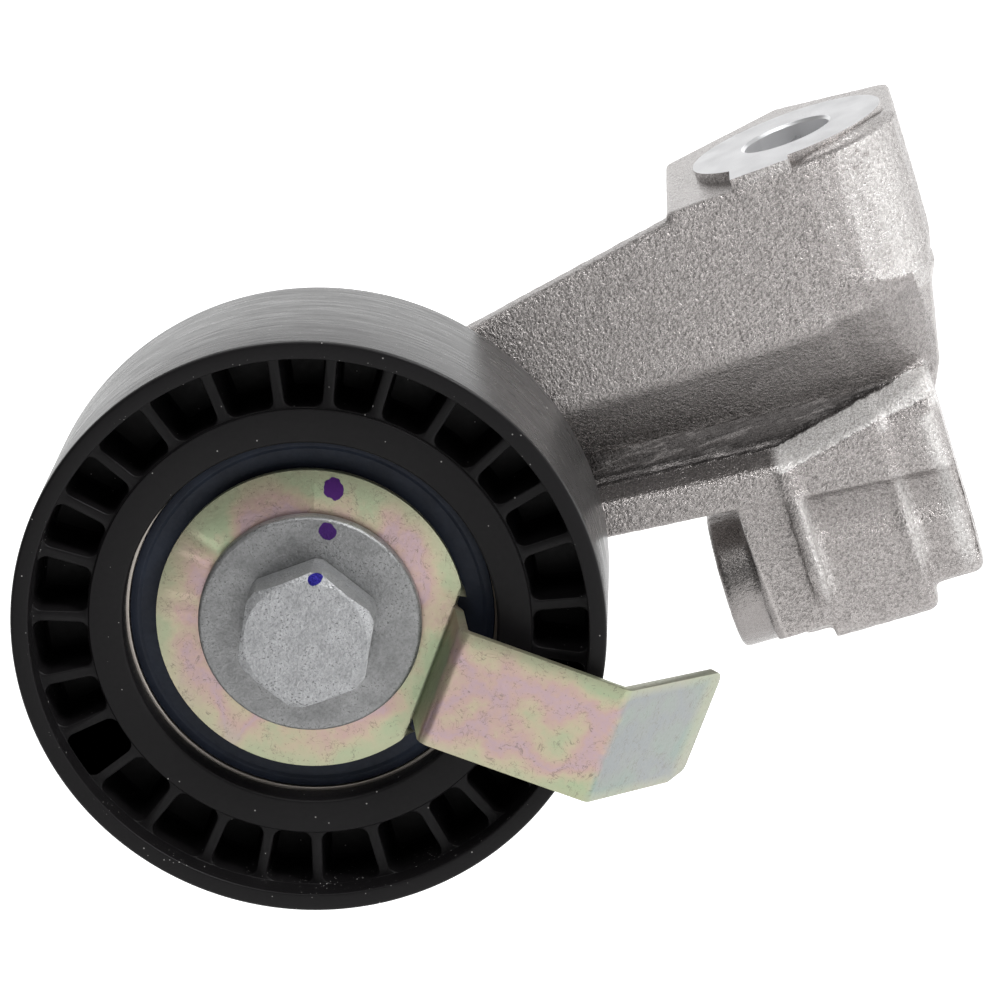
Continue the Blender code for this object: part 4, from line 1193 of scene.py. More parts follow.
@dataclass
class ClampedStack:
    """Bolt, washer and sleeve that hold the pulley to the bracket."""

    across_flats: float = 15.0 * MM
    corner_radius: float = 8.3 * MM
    shank_radius: float = 5.0 * MM
    pitch: float = 1.5 * MM
    threaded: float = 24.0 * MM
    washer_hole: float = 5.4 * MM
    sleeve_bore: float = 5.3 * MM
    washer_dab: tuple[float, float] = (11.7 * MM, 58.0)
    bolt_dab: tuple[float, float] = (7.65 * MM, 60.0)
    ink: tuple[float, float, float] = (0.045, 0.010, 0.115)
    blue_ink: tuple[float, float, float] = (0.010, 0.006, 0.16)
    centre: Vector = field(init=False)

    def __post_init__(self) -> None:
        """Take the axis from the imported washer."""
        self.centre = round_sizes("bolt_washer")[0]

    def polar(self, radius: float, degrees: float) -> tuple[float, float]:
        """World x and z at a radius and angle about the bolt."""
        angle = radians(degrees)
        return (self.centre.x + radius * cos(angle), self.centre.z + radius * sin(angle))

    def washer(self) -> None:
        """Stamped washer with a rolled front edge and a burr behind."""
        _, outer, front, back = round_sizes("bolt_washer")
        x, z = self.polar(*self.washer_dab)
        dab = MarkerDab(x, z, 0.95 * MM, self.ink, 1.15)
        finish = ZincFlake("washer_zinc_flake", (dab,), (0.31, 0.313, 0.315),
                           (0.165, 0.167, 0.168), 0.07 * MM).build()
        corners = [
            (outer - 0.02 * MM, back, 0.08 * MM), (outer, front, 0.55 * MM),
            (self.washer_hole, front, 0.3 * MM), (self.washer_hole, back, 0.1 * MM)]
        item = solid("clamp_washer", turned(soft_corners(corners, 5), self.centre, 128), finish)
        fit(item, Body.BRACKET, Slot.FLAKE, "bolt_washer")

    def head(self, finish: bpy.types.Material) -> bpy.types.Object:
        """Forged hexagon head, chamfered at its corners.

        Args:
            finish: the coating.

        Returns:
            The head as a closed solid.
        """
        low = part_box("pulley_bolt")[0]
        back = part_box("bolt_washer")[0].y - 0.15 * MM
        shape = bmesh.new()
        corner = self.across_flats / 2 / cos(pi / 6)
        turn = Matrix.Rotation(pi / 2, 4, "X")
        bmesh.ops.create_circle(shape, cap_ends=True, segments=6, radius=corner,
                                matrix=Matrix.Rotation(pi / 2, 4, "Z"))
        bmesh.ops.transform(shape, matrix=turn, verts=shape.verts)
        bmesh.ops.translate(shape, vec=(self.centre.x, back, self.centre.z), verts=shape.verts)
        made = bmesh.ops.extrude_face_region(shape, geom=shape.faces[:])
        moved = [item for item in made["geom"] if isinstance(item, bmesh.types.BMVert)]
        bmesh.ops.translate(shape, vec=(0, low.y - back, 0), verts=moved)
        bmesh.ops.recalc_face_normals(shape, faces=shape.faces)
        head = solid("hexagon", shape, finish)
        soften_edges(head, 0.22 * MM)
        face = self.across_flats / 2 - 0.3 * MM
        drop = (self.corner_radius - face) * tan(radians(30))
        corners = [
            (0.0, back + 1 * MM, 0.0), (self.corner_radius, back + 1 * MM, 0.0),
            (self.corner_radius, low.y + drop, 0.2 * MM), (face, low.y, 0.3 * MM),
            (0.0, low.y, 0.0)]
        turning = turned(soft_corners(corners, 4, closed=False), self.centre, 120, closed=False)
        carve(head, solid("turning", turning, finish), Cut.KEEP_COMMON)
        return head

    def shank(self, finish: bpy.types.Material) -> bpy.types.Object:
        """Plain shank with the thread's ridges towards its end.

        Args:
            finish: the coating.

        Returns:
            The shank as a closed solid.
        """
        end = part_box("pulley_bolt")[1].y
        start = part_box("bolt_washer")[0].y - 0.3 * MM
        depth = 0.6 * self.pitch
        profile: Profile = [(0.0, end), (self.shank_radius - 1.1 * MM, end)]
        y = end - 0.4 * MM
        profile.append((self.shank_radius - depth, y))
        while y > end - self.threaded:
            for sunk, turn in ((0.0, 0.42), (0.0, 0.58), (depth, 0.94), (depth, 1.0)):
                profile.append((self.shank_radius - sunk, y - self.pitch * turn))
            y -= self.pitch
        profile += [(self.shank_radius, y - 0.8 * MM), (self.shank_radius, start), (0.0, start)]
        return solid("shank", turned(profile, self.centre, 64, closed=False), finish)

    def bolt(self) -> None:
        """Make the bolt as one piece."""
        x, z = self.polar(*self.bolt_dab)
        dab = MarkerDab(x, z, 0.90 * MM, self.blue_ink, 0.75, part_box("pulley_bolt")[0].y, 0.5)
        finish = ZincFlake("bolt_zinc_flake", (dab,), pitting=0.16 * MM).build()
        bolt = self.head(finish)
        bolt.name = "flange_bolt"
        carve(bolt, self.shank(finish), Cut.ADD)
        fit(bolt, Body.BRACKET, Slot.FLAKE, "pulley_bolt", sharp=30.0)

    def sleeve(self) -> None:
        """Turned bush between the bolt and the bearing."""
        _, outer, front, back = round_sizes("spacer_sleeve")
        finish = BearingSteel("turned_sleeve_steel", (0.5, 0.5, 0.52), 0.32).build()
        corners = [(outer, back, 0.35 * MM), (outer, front, 0.35 * MM),
                   (self.sleeve_bore, front, 0.35 * MM), (self.sleeve_bore, back, 0.35 * MM)]
        item = solid("bearing_sleeve", turned(soft_corners(corners, 3), self.centre, 96), finish)
        fit(item, Body.BRACKET, Slot.SLEEVE, "spacer_sleeve")

    def build(self) -> None:
        """Make the stack's pieces."""
        self.washer()
        self.bolt()
        self.sleeve()


# ---- Guard plate ----------------------------------------------------------------------


@dataclass
class GuardPlate:
    """Stamped washer plate whose tab steps forward and folds back over the rim."""

    thickness: float = 1.1 * MM
    radius: float = 18.3 * MM
    hole: float = 5.4 * MM
    angle: float = radians(-41.0)
    width: float = 14.7 * MM
    rise: float = 7.6 * MM
    step_radius: float = 15.9 * MM
    step_run: float = 1.0 * MM
    fold_radius: float = 37.2 * MM
    end_length: float = 22.8 * MM
    end_angle: float = radians(59.0)
    bend: float = 0.95 * MM
    notch_width: float = 1.6 * MM
    notch_depth: float = 0.5 * MM
    corner_cut: float = 3.2 * MM
    corner_round: float = 1.4 * MM
    dab: tuple[float, float] = (16.3 * MM, radians(59))
    ink: tuple[float, float, float] = (0.060, 0.012, 0.125)
    centre: Vector = field(init=False)
    plate_y: float = field(init=False)

    def __post_init__(self) -> None:
        """Take the plate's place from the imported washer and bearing."""
        self.centre = round_sizes("bolt_washer")[0]
        self.plate_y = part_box("bolt_washer")[1].y + 0.3 * MM + self.thickness / 2

    def path(self) -> list[Vector]:
        """Trace the middle line of the sheet along the tab, with round bends.

        Returns:
            Points of (distance from the bolt's axis, y).
        """
        tab_y = self.plate_y - self.rise
        end = (self.fold_radius + self.end_length * cos(self.end_angle),
               tab_y + self.end_length * sin(self.end_angle))
        corners = [
            (-self.radius, self.plate_y, 0.0), (self.step_radius, self.plate_y, self.bend),
            (self.step_radius + self.step_run, tab_y, self.bend),
            (self.fold_radius, tab_y, self.bend * 0.7), (*end, 0.0)]
        return [Vector(point) for point in soft_corners(corners, 8, closed=False)]

    def outline(self, length: float) -> Profile:
        """Flat outline of the sheet before it is bent.

        Args:
            length: developed distance from the bolt's axis to the tab's end.

        Returns:
            The outline as (along, across) points.
        """
        half = self.width / 2
        inner = self.step_radius - self.notch_depth
        far = half + self.notch_width
        start = atan2(far, sqrt(self.radius ** 2 - far ** 2))
        line: Profile = []
        for step in range(97):
            angle = start + (2 * pi - 2 * start) * step / 96
            line.append((self.radius * cos(angle), self.radius * sin(angle)))
        corners = [
            (inner, -far, 0.35 * MM), (inner, -half, 0.35 * MM),
            (length - self.corner_cut, -half, 1.0 * MM), (length, -half + 1.33 * MM, 1.0 * MM),
            (length, half, self.corner_round), (inner, half, 0.35 * MM), (inner, far, 0.35 * MM)]
        line += soft_corners([(*line[-1], 0.0), *corners, (*line[0], 0.0)], 4, closed=False)[1:-1]
        return line

    def build(self) -> None:
        """Cut the sheet flat, bend it along its path and give it its thickness."""
        path = self.path()
        stations = [-self.radius]
        for before, after in zip(path, path[1:]):
            stations.append(stations[-1] + (after - before).length)
        shape = bmesh.new()
        rim = [shape.verts.new((u, v, 0.0)) for u, v in self.outline(stations[-1])]
        edges = [shape.edges.new((a, b)) for a, b in zip(rim, rim[1:] + rim[:1])]
        made = bmesh.ops.create_circle(shape, segments=48, radius=self.hole)
        edges += list({edge for vert in made["verts"] for edge in vert.link_edges})
        bmesh.ops.triangle_fill(shape, edges=edges, use_beauty=True, normal=(0, 0, 1))
        cuts = [((station, 0, 0), (1, 0, 0)) for station in stations[1:-1]]
        cuts += [((0, across * MM, 0), (0, 1, 0)) for across in (-5, -2.5, 0, 2.5, 5)]
        for place, normal in cuts:
            bmesh.ops.bisect_plane(shape, geom=shape.verts[:] + shape.edges[:] + shape.faces[:],
                                   plane_co=place, plane_no=normal, dist=1e-7)
        forward = Vector((cos(self.angle), sin(self.angle)))
        sideways = Vector((-sin(self.angle), cos(self.angle)))
        for vert in shape.verts:
            along, y = self.bent(vert.co.x, path, stations)
            flat = forward * along + sideways * vert.co.y
            vert.co = (self.centre.x + flat.x, y, self.centre.z + flat.y)
        bmesh.ops.recalc_face_normals(shape, faces=shape.faces)
        out, turn = self.dab
        dab = MarkerDab(self.centre.x + out * cos(turn), self.centre.z + out * sin(turn),
                        1.15 * MM, self.ink, 1.2)
        tip = self.fold_radius + self.end_length * cos(self.end_angle)
        finish = YellowZinc("plate_yellow_zinc", tuple(self.centre),
                            (forward.x, 0.0, forward.y), self.radius, self.width,
                            self.fold_radius, tip, (dab,)).build()
        plate = solid("guard_sheet", shape, finish)
        wall = plate.modifiers.new("sheet", "SOLIDIFY")
        wall.thickness = self.thickness
        wall.offset = 0.0
        wall.use_even_offset = True
        settle(plate)
        soften_edges(plate, 0.16 * MM, radians(50))
        fit(plate, Body.BRACKET, Slot.PLATE, "guard_plate", sharp=28.0)

    @staticmethod
    def bent(distance: float, path: Sequence[Vector],
             stations: Sequence[float]) -> tuple[float, float]:
        """Find where a point of the flat sheet lands on the bent path.

        Args:
            distance: its distance from the bolt's axis along the flat sheet.
            path: the path's points.
            stations: distance along the path at each of them.

        Returns:
            Its distance and y once bent.
        """
        last = len(stations) - 2
        index = 0
        while index < last and distance > stations[index + 1]:
            index += 1
        part = (distance - stations[index]) / (stations[index + 1] - stations[index])
        point = path[index].lerp(path[index + 1], part)
        return point.x, point.y


# ---- Bracket --------------------------------------------------------------------------


@dataclass
class CastBracket:
    """Aluminium casting with soft cast corners and crisp machined faces."""

    voxel: float = 0.38 * MM
    passes: int = 2
    block_top: float = -1.3 * MM
    pad_radius: float = 12.2 * MM
    bead_radius: float = 1.0 * MM
    lug: tuple[float, float] = (-7.6 * MM, -0.2 * MM)
    lug_front: float = -14.56 * MM
    stock: float = 1.2 * MM
    bore: float = 5.5 * MM
    bore_depth: float = 36.0 * MM
    bore_chamfer: float = 0.35 * MM
    seat_radius: float = 12.6 * MM
    hub_bore: float = 5.3 * MM
    foot_tilt: float = radians(3.5)
    foot_middle: tuple[float, float] = (-4.0 * MM, -45.0 * MM)
    foot_right: float = 9.9 * MM
    foot_crease: float = 3.2 * MM
    foot_crease_slope: float = -0.09
    hollow_height: float = 7.0 * MM
    hollow_depth: float = 0.9 * MM
    ridge_middle: float = 2.3 * MM
    rib_middle: float = -9.9 * MM
    ridge_height: float = 0.45 * MM
    ridge_width: float = 0.85 * MM
    right_setback: float = 0.35 * MM
    edge_round: float = 3.0 * MM
    foot_right_front: float = -13.9 * MM
    corner_passes: int = 6
    foot_left: float = -12.0 * MM
    foot_low: float = -14.0 * MM
    foot_high: float = 8.0 * MM
    foot_face: float = -10.5 * MM
    foot_ceiling: float = -36.0 * MM
    boss_top: float = -41.0 * MM
    edge_top: float = 12.0 * MM
    edge_end: float = 12.0 * MM
    edge_fade: float = 3.0 * MM
    shelf_left: float = -11.8 * MM
    shelf_right: float = 9.5 * MM
    shelf_low: float = 7.0 * MM
    shelf_back: float = -8.2 * MM
    shelf_top: float = -24.0 * MM
    corner_left: float = 5.0 * MM
    corner_low: float = 2.5 * MM
    corner_high: float = 13.0 * MM
    corner_top: float = 12.5 * MM
    corner_back: float = -8.0 * MM
    column_left: float = -18.0 * MM
    column_side: float = -15.2 * MM
    column_low: float = -14.0 * MM
    boss_right: float = -21.2 * MM
    flank_back: float = -10.0 * MM
    groove_end: float = 9.0 * MM
    groove_front: float = -13.6 * MM
    groove_back: float = -4.5 * MM
    plug_wall: float = 0.4 * MM
    plug_extra: float = 3.6 * MM
    lumps: float = 0.05 * MM
    crease_top: float = -15.2 * MM
    crease_slope: float = -0.344
    swell: float = 0.55 * MM
    swell_depth: float = 4.2 * MM
    swell_start: float = 0.5 * MM
    arm_root: float = -16.5 * MM
    web_top: float = -30.1 * MM
    web_top_slope: float = -0.118
    flange_top: float = -35.6 * MM
    flange_slope: float = -0.132

    def rough_casting(self, finish: bpy.types.Material) -> bpy.types.Object:
        """Casting without its pad, remeshed and smoothed so that its corners are soft.

        Args:
            finish: the casting's material.

        Returns:
            The closed casting.
        """
        casting = solid("casting", merged_copy("bracket"), finish)
        casting.data.materials.clear()
        casting.data.materials.append(finish)
        above = box((-0.05, -0.05, self.block_top), (0.05, 0.05, 0.02))
        carve(casting, solid("above", above, finish), Cut.REMOVE)
        plugged = self.bore + self.plug_wall
        plug_end = -self.bore_depth - self.plug_extra
        plug = self.upright([(0.0, self.block_top), (plugged, self.block_top),
                             (plugged, plug_end), (0.0, plug_end)])
        carve(casting, solid("plug", plug, finish), Cut.ADD)
        carve(casting, solid("bead", self.bead(), finish), Cut.ADD)
        remesh = casting.modifiers.new("voxels", "REMESH")
        remesh.mode = "VOXEL"
        remesh.voxel_size = self.voxel
        settle(casting)
        shape = bmesh.new()
        shape.from_mesh(casting.data)
        relax(shape, shape.verts, self.passes)
        self.roughen(shape)
        shape.to_mesh(casting.data)
        shape.free()
        return casting

    def bead(self) -> bmesh.types.BMesh:
        """Sweep the flash that rises against the pad's front right edge.

        Returns:
            The closed flash.
        """
        loops = []
        rise = Vector((0, 0, 1))
        for step in range(21):
            angle = radians(-84 + 76 * step / 20)
            outward = Vector((cos(angle), sin(angle), 0.0))
            radius = self.bead_radius * sin(radians(25 + 130 * step / 20))
            centre = outward * (self.pad_radius + 0.45 * MM) + rise * self.block_top
            turns = [2 * pi * index / 16 for index in range(16)]
            loops.append([centre + outward * (radius * cos(turn)) + rise * (radius * sin(turn))
                          for turn in turns])
        return stacked(loops)

    def roughen(self, shape: bmesh.types.BMesh) -> None:
        """Push the surface in and out a little, as blasted castings have it.

        Args:
            shape: the remeshed casting.
        """
        shape.normal_update()
        for vert in shape.verts:
            wave = noise.noise(vert.co / (1.1 * MM)) + 0.6 * noise.noise(vert.co / (0.5 * MM))
            level = self.grain_at(vert.co, vert.normal)
            vert.co += vert.normal * (wave * self.lumps * level + self.bulge_at(vert.co))
            if vert.normal.y < -0.25:
                vert.co.y += self.foot_relief(vert.co)
            vert.co.y = max(vert.co.y, self.rounded_edge(vert.co))
        corner = [vert for vert in shape.verts if self.in_corner(vert.co)]
        relax(shape, corner, self.corner_passes)

    def in_corner(self, place: Vector) -> bool:
        """Tell whether a point lies where the shelf meets the foot's right edge.

        Args:
            place: a point of the casting.

        Returns:
            Whether it does.
        """
        along, up = self.on_foot(place)
        return (along > self.corner_left and self.corner_low < up < self.corner_high
                and place.y < self.corner_back and place.x < self.edge_end)

    def on_foot(self, place: Vector) -> tuple[float, float]:
        """Carry a point into the tilted foot's own frame.

        Args:
            place: a point of the casting.

        Returns:
            Distances along and up the foot, from its middle.
        """
        x = place.x - self.foot_middle[0]
        z = place.z - self.foot_middle[1]
        tilt = self.foot_tilt
        return x * cos(tilt) - z * sin(tilt), x * sin(tilt) + z * cos(tilt)

    def foot_relief(self, place: Vector) -> float:
        """Measure how far the foot's front face is set back.

        Args:
            place: a point of the casting.

        Returns:
            Distance along Y, negative on the ridges.
        """
        along, up = self.on_foot(place)
        if not (self.foot_left < along < self.foot_right + 1 * MM
                and self.foot_low < up < self.foot_high and place.y < self.foot_face):
            return 0.0
        crease = self.foot_crease + self.foot_crease_slope * along
        below = share(crease - up, self.hollow_height)
        beside = share(along - self.rib_middle - 0.5 * MM, 1.2 * MM)
        beside *= share(self.foot_right - 0.4 * MM - along, 2.5 * MM)
        hollow = 4 * below * (1 - below) * self.hollow_depth * beside
        length = share(crease + 1 * MM - up, 2 * MM)
        length *= share(up + 12 * MM, 2 * MM)
        ridge = self.ridge_height * exp(-((along - self.ridge_middle) / self.ridge_width) ** 2)
        rib = self.ridge_height * exp(-((along - self.rib_middle) / self.ridge_width) ** 2)
        past = share(along - self.ridge_middle, self.ridge_width)
        return hollow + length * (past * self.right_setback - ridge - rib)

    def rounded_edge(self, place: Vector) -> float:
        """Find the foremost y that the foot's rounded right edge leaves at a point.

        Args:
            place: a point of the casting.

        Returns:
            That y, or the point's own where the edge isn't rounded.
        """
        along, up = self.on_foot(place)
        edge = along - (self.foot_right - self.edge_round)
        if edge <= 0 or up > self.edge_top or place.x > self.edge_end:
            return place.y
        edge = min(edge, self.edge_round * 0.97)
        drop = self.edge_round - sqrt(self.edge_round ** 2 - edge ** 2)
        fade = share(self.edge_top - up, self.edge_fade)
        return self.foot_right_front + drop * fade if place.y < 0 else place.y

    def painted_light_at(self, place: Vector, normal: Vector) -> float:
        """Measure the light or shade painted into the casting's colour at a point.

        Args:
            place: a point of the casting.
            normal: the surface's normal there.

        Returns:
            A number from 1, a painted highlight on the foot's shelf, to -1, painted shade in the
            arm's groove; the boss end is darker all over.
        """
        along, up = self.on_foot(place)
        # Painted highlight on the foot's shelf, which the light reaches from the front and above.
        if self.shelf_left < along < self.shelf_right and up > self.shelf_low \
                and place.y < self.shelf_back and place.z < self.shelf_top and normal.z > 0.5:
            return min((along - self.shelf_left) / (1.2 * MM), 1.0)
        corner = along > self.corner_left and up < self.corner_top
        # Painted shade on the web in the arm's groove.
        if not corner and self.on_web(place, normal, self.groove_end):
            return -1.0
        # Painted shade on faces that look down under the arm.
        if place.z > self.foot_ceiling and place.x < self.groove_end \
                and place.y < self.groove_back and not corner:
            under = share(-normal.z - 0.1, 0.4)
            if under > 0:
                return -0.55 * under
        # The boss end is darker all over.
        if place.x < self.boss_right and place.z < self.boss_top:
            return -0.55
        if place.x < self.column_left:
            return 0.0
        # The foot's front takes the painted light of flank_at.
        if place.z < self.foot_ceiling and place.y < self.flank_back:
            return self.flank_at(along, up)
        # Painted highlight on the column's rounded front right, on faces that turn right and up.
        turned_right = share(normal.x - 0.1, 0.6)
        upward = share(normal.z + 0.4, 0.4)
        if self.bulge_at(place) > 0.3 * self.swell:
            upward = max(upward, 0.8)
        near = share(-4 * MM - place.y, 7 * MM)
        return 0.75 * turned_right * upward * near

    def flank_at(self, along: float, up: float) -> float:
        """Measure the light or shade painted on the foot's front at a point.

        Args:
            along: distance along the foot.
            up: distance up the foot.

        Returns:
            Above 0, a painted highlight, on the ridges' right flanks and the right edge; below 0,
            painted shade, under the crease.
        """
        crease = self.foot_crease + self.foot_crease_slope * along
        length = share(crease + 1 * MM - up, 2 * MM)
        length *= share(up + 11 * MM, 3 * MM)
        # Painted highlights on the ridges' right flanks and the rounded right edge.
        glow = 0.0
        for middle in (self.ridge_middle, self.rib_middle):
            off = (along - middle - self.ridge_width * 0.6) / (self.ridge_width * 0.9)
            glow += 0.7 * length * exp(-off ** 2)
        edge = (along - (self.foot_right - self.edge_round * 0.55)) / (self.edge_round * 0.35)
        glow += 0.8 * exp(-edge ** 2) * share(up + 13 * MM, 4 * MM)
        # Painted shade under the crease.
        below = (crease - up) / (5 * MM)
        shade = 0.34 * (1 - below) if 0 < below < 1 else 0.0
        shade *= share(along - self.rib_middle - 0.5 * MM, 1 * MM)
        return min(glow, 1.0) - shade * (1 - min(glow, 1.0))

    def bulge_at(self, place: Vector) -> float:
        """Measure the swelling below the crease that runs round the column's front.

        Args:
            place: a point of the casting.

        Returns:
            Its height.
        """
        x, y, z = place
        crease = self.crease_top + self.crease_slope * x
        if not (self.swell_start < x and y < 0 and crease - self.swell_depth < z < crease):
            return 0.0
        fallen = (crease - z) / self.swell_depth
        rise = min(fallen / 0.22, 1.0) * (1.0 - max(fallen - 0.22, 0.0) / 0.78)
        return self.swell * rise * min(1.0, (x - self.swell_start) / (3 * MM))

    def grain_at(self, place: Vector, normal: Vector) -> float:
        """Measure how coarse the cast grain is at a point.

        Args:
            place: a point of the casting.
            normal: the surface's normal there.

        Returns:
            A number from 0 on a wiped skin to 1 on a blasted one.
        """
        x, _, z = place
        if self.is_dragged(place, normal):
            return 0.1
        on_top = z > -2.2 * MM and normal.z > 0.7
        on_side = (self.column_left < x < self.column_side and normal.x < -0.6
                   and z > self.column_low)
        if on_top or on_side:
            return 0.4
        return 0.35 if x < -21 * MM and z < self.boss_top else 1.0

    def is_dragged(self, place: Vector, normal: Vector) -> bool:
        """Whether the die's slide wiped this point of the web."""
        return self.on_web(place, normal, 0.5 * MM)

    def on_web(self, place: Vector, normal: Vector, end: float) -> bool:
        """Tell whether a point lies on the web of the arm's groove.

        Args:
            place: a point of the casting.
            normal: the surface's normal there.
            end: the greatest x that counts.

        Returns:
            Whether it does.
        """
        x, y, z = place
        along = x - self.arm_root
        upper = self.web_top + self.web_top_slope * along
        lower = self.flange_top + self.flange_slope * along
        inside = x < end and lower < z < upper and self.groove_front < y < self.groove_back
        return inside and normal.y < -0.45

    def pad(self, finish: bpy.types.Material) -> bpy.types.Object:
        """Round pad with the lug that runs to the front, as cast and still too tall.

        Args:
            finish: the casting's material.

        Returns:
            The closed pad.
        """
        left, right = self.lug
        start = atan2(-sqrt(self.pad_radius ** 2 - right ** 2), right)
        end = atan2(-sqrt(self.pad_radius ** 2 - left ** 2), left) + 2 * pi
        line = []
        for step in range(121):
            angle = start + (end - start) * step / 120
            line.append((self.pad_radius * cos(angle), self.pad_radius * sin(angle)))
        line += [(left, self.lug_front), (right, self.lug_front)]
        loops = [[Vector((u, v, z)) for u, v in line] for z in (-3 * MM, self.stock)]
        return solid("pad", stacked(loops), finish)

    def upright(self, profile: Profile) -> bmesh.types.BMesh:
        """Spin a profile about the bolt hole's axis.

        Args:
            profile: points of (radius, z), whose ends lie on the axis.

        Returns:
            The closed solid.
        """
        shape = turned(profile, Vector((0, 0, 0)), 96, closed=False)
        bmesh.ops.rotate(shape, cent=(0, 0, 0), matrix=Matrix.Rotation(pi / 2, 3, "X"),
                         verts=shape.verts)
        return shape

    def upright_bore(self, finish: bpy.types.Material) -> bpy.types.Object:
        """Make the cutter of the chamfered bolt hole.

        Args:
            finish: the bore's material.

        Returns:
            The closed cutter.
        """
        chamfer = self.bore_chamfer
        tip = -self.bore_depth - self.bore * tan(radians(31))
        profile: Profile = [
            (0.0, 1 * MM), (self.bore + chamfer + 1 * MM, 1 * MM), (self.bore, -chamfer),
            (self.bore, -self.bore_depth), (0.0, tip)]
        return solid("upright_bore", self.upright(profile), finish)

    def build(self) -> None:
        """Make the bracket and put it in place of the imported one."""
        hub = round_sizes("bolt_washer")[0]
        cast = CastAluminium().build()
        faced = MachinedAluminium("faced_pad_aluminium", (0, 0, 0), "Z").build()
        # The bore wall gets a lighter copy of the pad's machined finish, a painted reflection.
        bored = MachinedAluminium("bored_aluminium_painted_bright", (0, 0, 0), "Z", colour=(0.82, 0.82, 0.83),
                                  roughness=0.32).build()
        seat = MachinedAluminium("faced_seat_aluminium", tuple(hub), "Y").build()
        casting = self.rough_casting(cast)
        carve(casting, self.pad(cast), Cut.ADD)
        chips = box((-0.03, -0.03, 0.0), (0.03, 0.03, 0.01))
        carve(casting, solid("chips", chips, faced), Cut.REMOVE)
        carve(casting, self.upright_bore(bored), Cut.REMOVE)
        seat_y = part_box("bearing_outer_ring")[1].y + 0.3 * MM
        facing = [(self.hub_bore, seat_y - 5 * MM), (self.seat_radius + 5 * MM, seat_y - 5 * MM),
                  (self.seat_radius + 5 * MM, seat_y), (self.hub_bore, seat_y)]
        carve(casting, solid("facing", turned(facing, hub, 96), seat), Cut.REMOVE)
        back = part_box("bracket")[1].y
        hole = [(0.0, back + 5 * MM), (self.hub_bore, back + 5 * MM),
                (self.hub_bore, seat_y - 8 * MM), (0.0, seat_y - 8 * MM)]
        carve(casting, solid("hub_hole", turned(hole, hub, 72, closed=False), seat), Cut.REMOVE)
        self.paint_grain_and_light(casting)
        casting.name = "cast_bracket"
        fit(casting, Body.BRACKET, Slot.CASTING, "bracket", sharp=38.0)

    def paint_grain_and_light(self, casting: bpy.types.Object) -> None:
        """Store on each point its grain, the slide's drag and the light or shade painted there.

        Args:
            casting: the finished casting.
        """
        mesh = casting.data
        for name, measure in (("grain", self.grain_at), ("drag", self.is_dragged),
                              ("bright", self.painted_light_at)):
            values = [float(measure(v.co, v.normal)) for v in mesh.vertices]
            mesh.attributes.new(name, "FLOAT", "POINT").data.foreach_set("value", values)


# ---- Studio ---------------------------------------------------------------------------


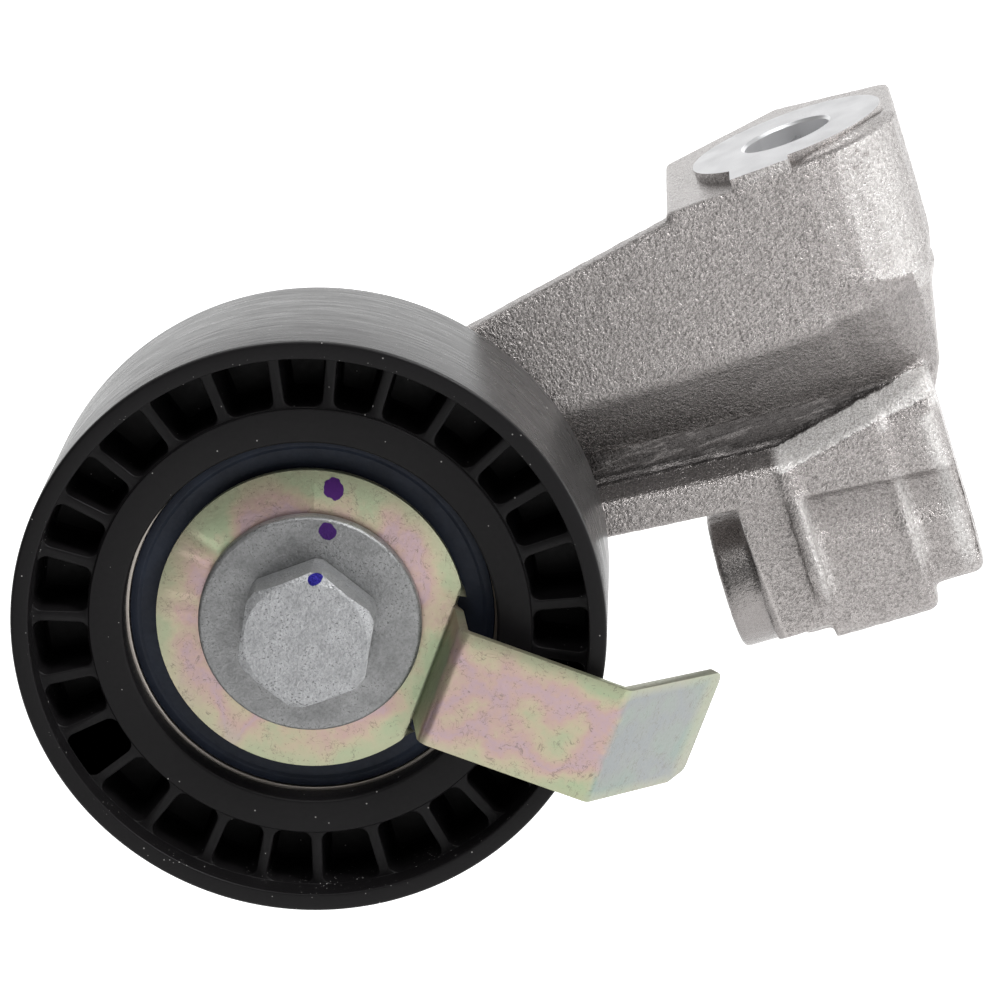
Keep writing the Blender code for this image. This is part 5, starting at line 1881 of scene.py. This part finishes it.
@dataclass
class Studio:
    """Camera, lamps, floor and world."""

    eye: tuple[float, float, float] = (0.02244, -0.53581, 0.1081)
    right: tuple[float, float, float] = (0.9335, 0.0327, -0.3570)
    up: tuple[float, float, float] = (0.3344, 0.2797, 0.9000)
    away: tuple[float, float, float] = (0.1293, -0.9595, 0.2501)
    lens: float = 159.11
    sensor: float = 36.0
    aim: tuple[float, float, float] = (-0.03, 0.0, -0.03)
    floor_drop: float = 45.0 * MM
    floor_radius: float = 1.7
    floor_lift: tuple[float, float] = (0.62, 1.0)
    lift_reach: tuple[float, float] = (0.3, 0.8)
    floor_colour: tuple[float, float, float] = (0.84, 0.84, 0.84)
    room_level: float = 0.16
    boxes: tuple[tuple[str, tuple[float, float, float], tuple[float, float], float], ...] = (
        ("top_box", (0.15, 0.2, 1.3), (0.7, 0.7), 4.5),
        ("back_box", (0.0, 1.6, 0.45), (2.6, 1.1), 11.0),
        ("left_box", (-1.5, 0.3, 0.3), (1.0, 0.9), 2.5),
        ("right_box", (0.95, -0.45, 0.75), (0.45, 0.45), 16.0),
        ("key_box", (0.1, -0.75, 1.15), (0.5, 0.5), 4.0))

    def camera(self) -> None:
        """Place the camera."""
        data = bpy.data.cameras.new("view")
        data.lens = self.lens
        data.sensor_width = self.sensor
        data.clip_start = 0.01
        data.clip_end = 20.0
        item = bpy.data.objects.new("view", data)
        turn = Matrix((self.right, self.up, self.away)).transposed().to_4x4()
        item.matrix_world = Matrix.Translation(self.eye) @ turn
        bpy.context.scene.collection.objects.link(item)
        bpy.context.scene.camera = item

    def softbox(self, name: str, place: Sequence[float], size: tuple[float, float],
                power: float) -> None:
        """Hang a rectangular softbox that faces the part.

        Args:
            name: the lamp's name.
            place: where it hangs.
            size: its width and height.
            power: watts.
        """
        data = bpy.data.lights.new(name, "AREA")
        data.shape = "RECTANGLE"
        data.size, data.size_y = size
        data.energy = power
        item = bpy.data.objects.new(name, data)
        item.location = place
        direction = Vector(self.aim) - Vector(place)
        item.rotation_mode = "QUATERNION"
        item.rotation_quaternion = direction.to_track_quat("-Z", "Y")
        bpy.context.scene.collection.objects.link(item)

    def seen_white(self, sketch: NodeSketch) -> Socket:
        """Tell the rays that see the background from those that light the part.

        Args:
            sketch: the material under construction.

        Returns:
            A number that is 1 for camera, glossy and transmission rays and 0 for others.
        """
        rays = sketch.node("LightPath").outputs
        seen = sketch.maths("MAXIMUM", rays["Is Camera Ray"], rays["Is Glossy Ray"])
        return sketch.maths("MAXIMUM", seen, rays["Is Transmission Ray"])

    def floor(self) -> None:
        """Lay the pale round floor under the part."""
        low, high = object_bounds()
        shape = bmesh.new()
        centre = ((low.x + high.x) / 2, (low.y + high.y) / 2, low.z - self.floor_drop)
        bmesh.ops.create_circle(shape, cap_ends=True, segments=96, radius=self.floor_radius,
                                matrix=Matrix.Translation(centre))
        sketch = NodeSketch("pale_floor")
        sketch.surface(base_color=self.floor_colour, roughness=0.9, specular_ior_level=0.1)
        level = sketch.ramp(sketch.radius_about(centre, "Z"), *self.lift_reach, *self.floor_lift)
        strength = sketch.times(self.seen_white(sketch), level)
        lift = sketch.node("Emission", {"Color": (1, 1, 1), "Strength": strength})
        both = sketch.node("AddShader", {0: sketch.shader.outputs[0], 1: lift.outputs[0]})
        sketch.feed(sketch.tree.nodes["Material Output"].inputs["Surface"], both.outputs[0])
        solid("floor", shape, sketch.material)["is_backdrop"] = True

    def world(self) -> None:
        """Light the room evenly."""
        world = bpy.data.worlds.new("room")
        world.use_nodes = True
        bpy.context.scene.world = world
        back = world.node_tree.nodes["Background"]
        back.inputs["Color"].default_value = (1, 1, 1, 1)
        back.inputs["Strength"].default_value = self.room_level

    def build(self) -> None:
        """Set the whole studio."""
        bpy.context.scene.view_settings.view_transform = "Standard"
        self.camera()
        self.world()
        self.floor()
        for name, place, size, power in self.boxes:
            self.softbox(name, place, size, power)


def main() -> None:
    """Build the pieces in order, then the studio."""
    logging.basicConfig(level=logging.INFO, format="%(name)s %(message)s")
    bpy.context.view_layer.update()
    PulleyWheel().build()
    BallBearing().build()
    ClampedStack().build()
    GuardPlate().build()
    CastBracket().build()
    Studio().build()


if __name__ == "__main__":
    main()
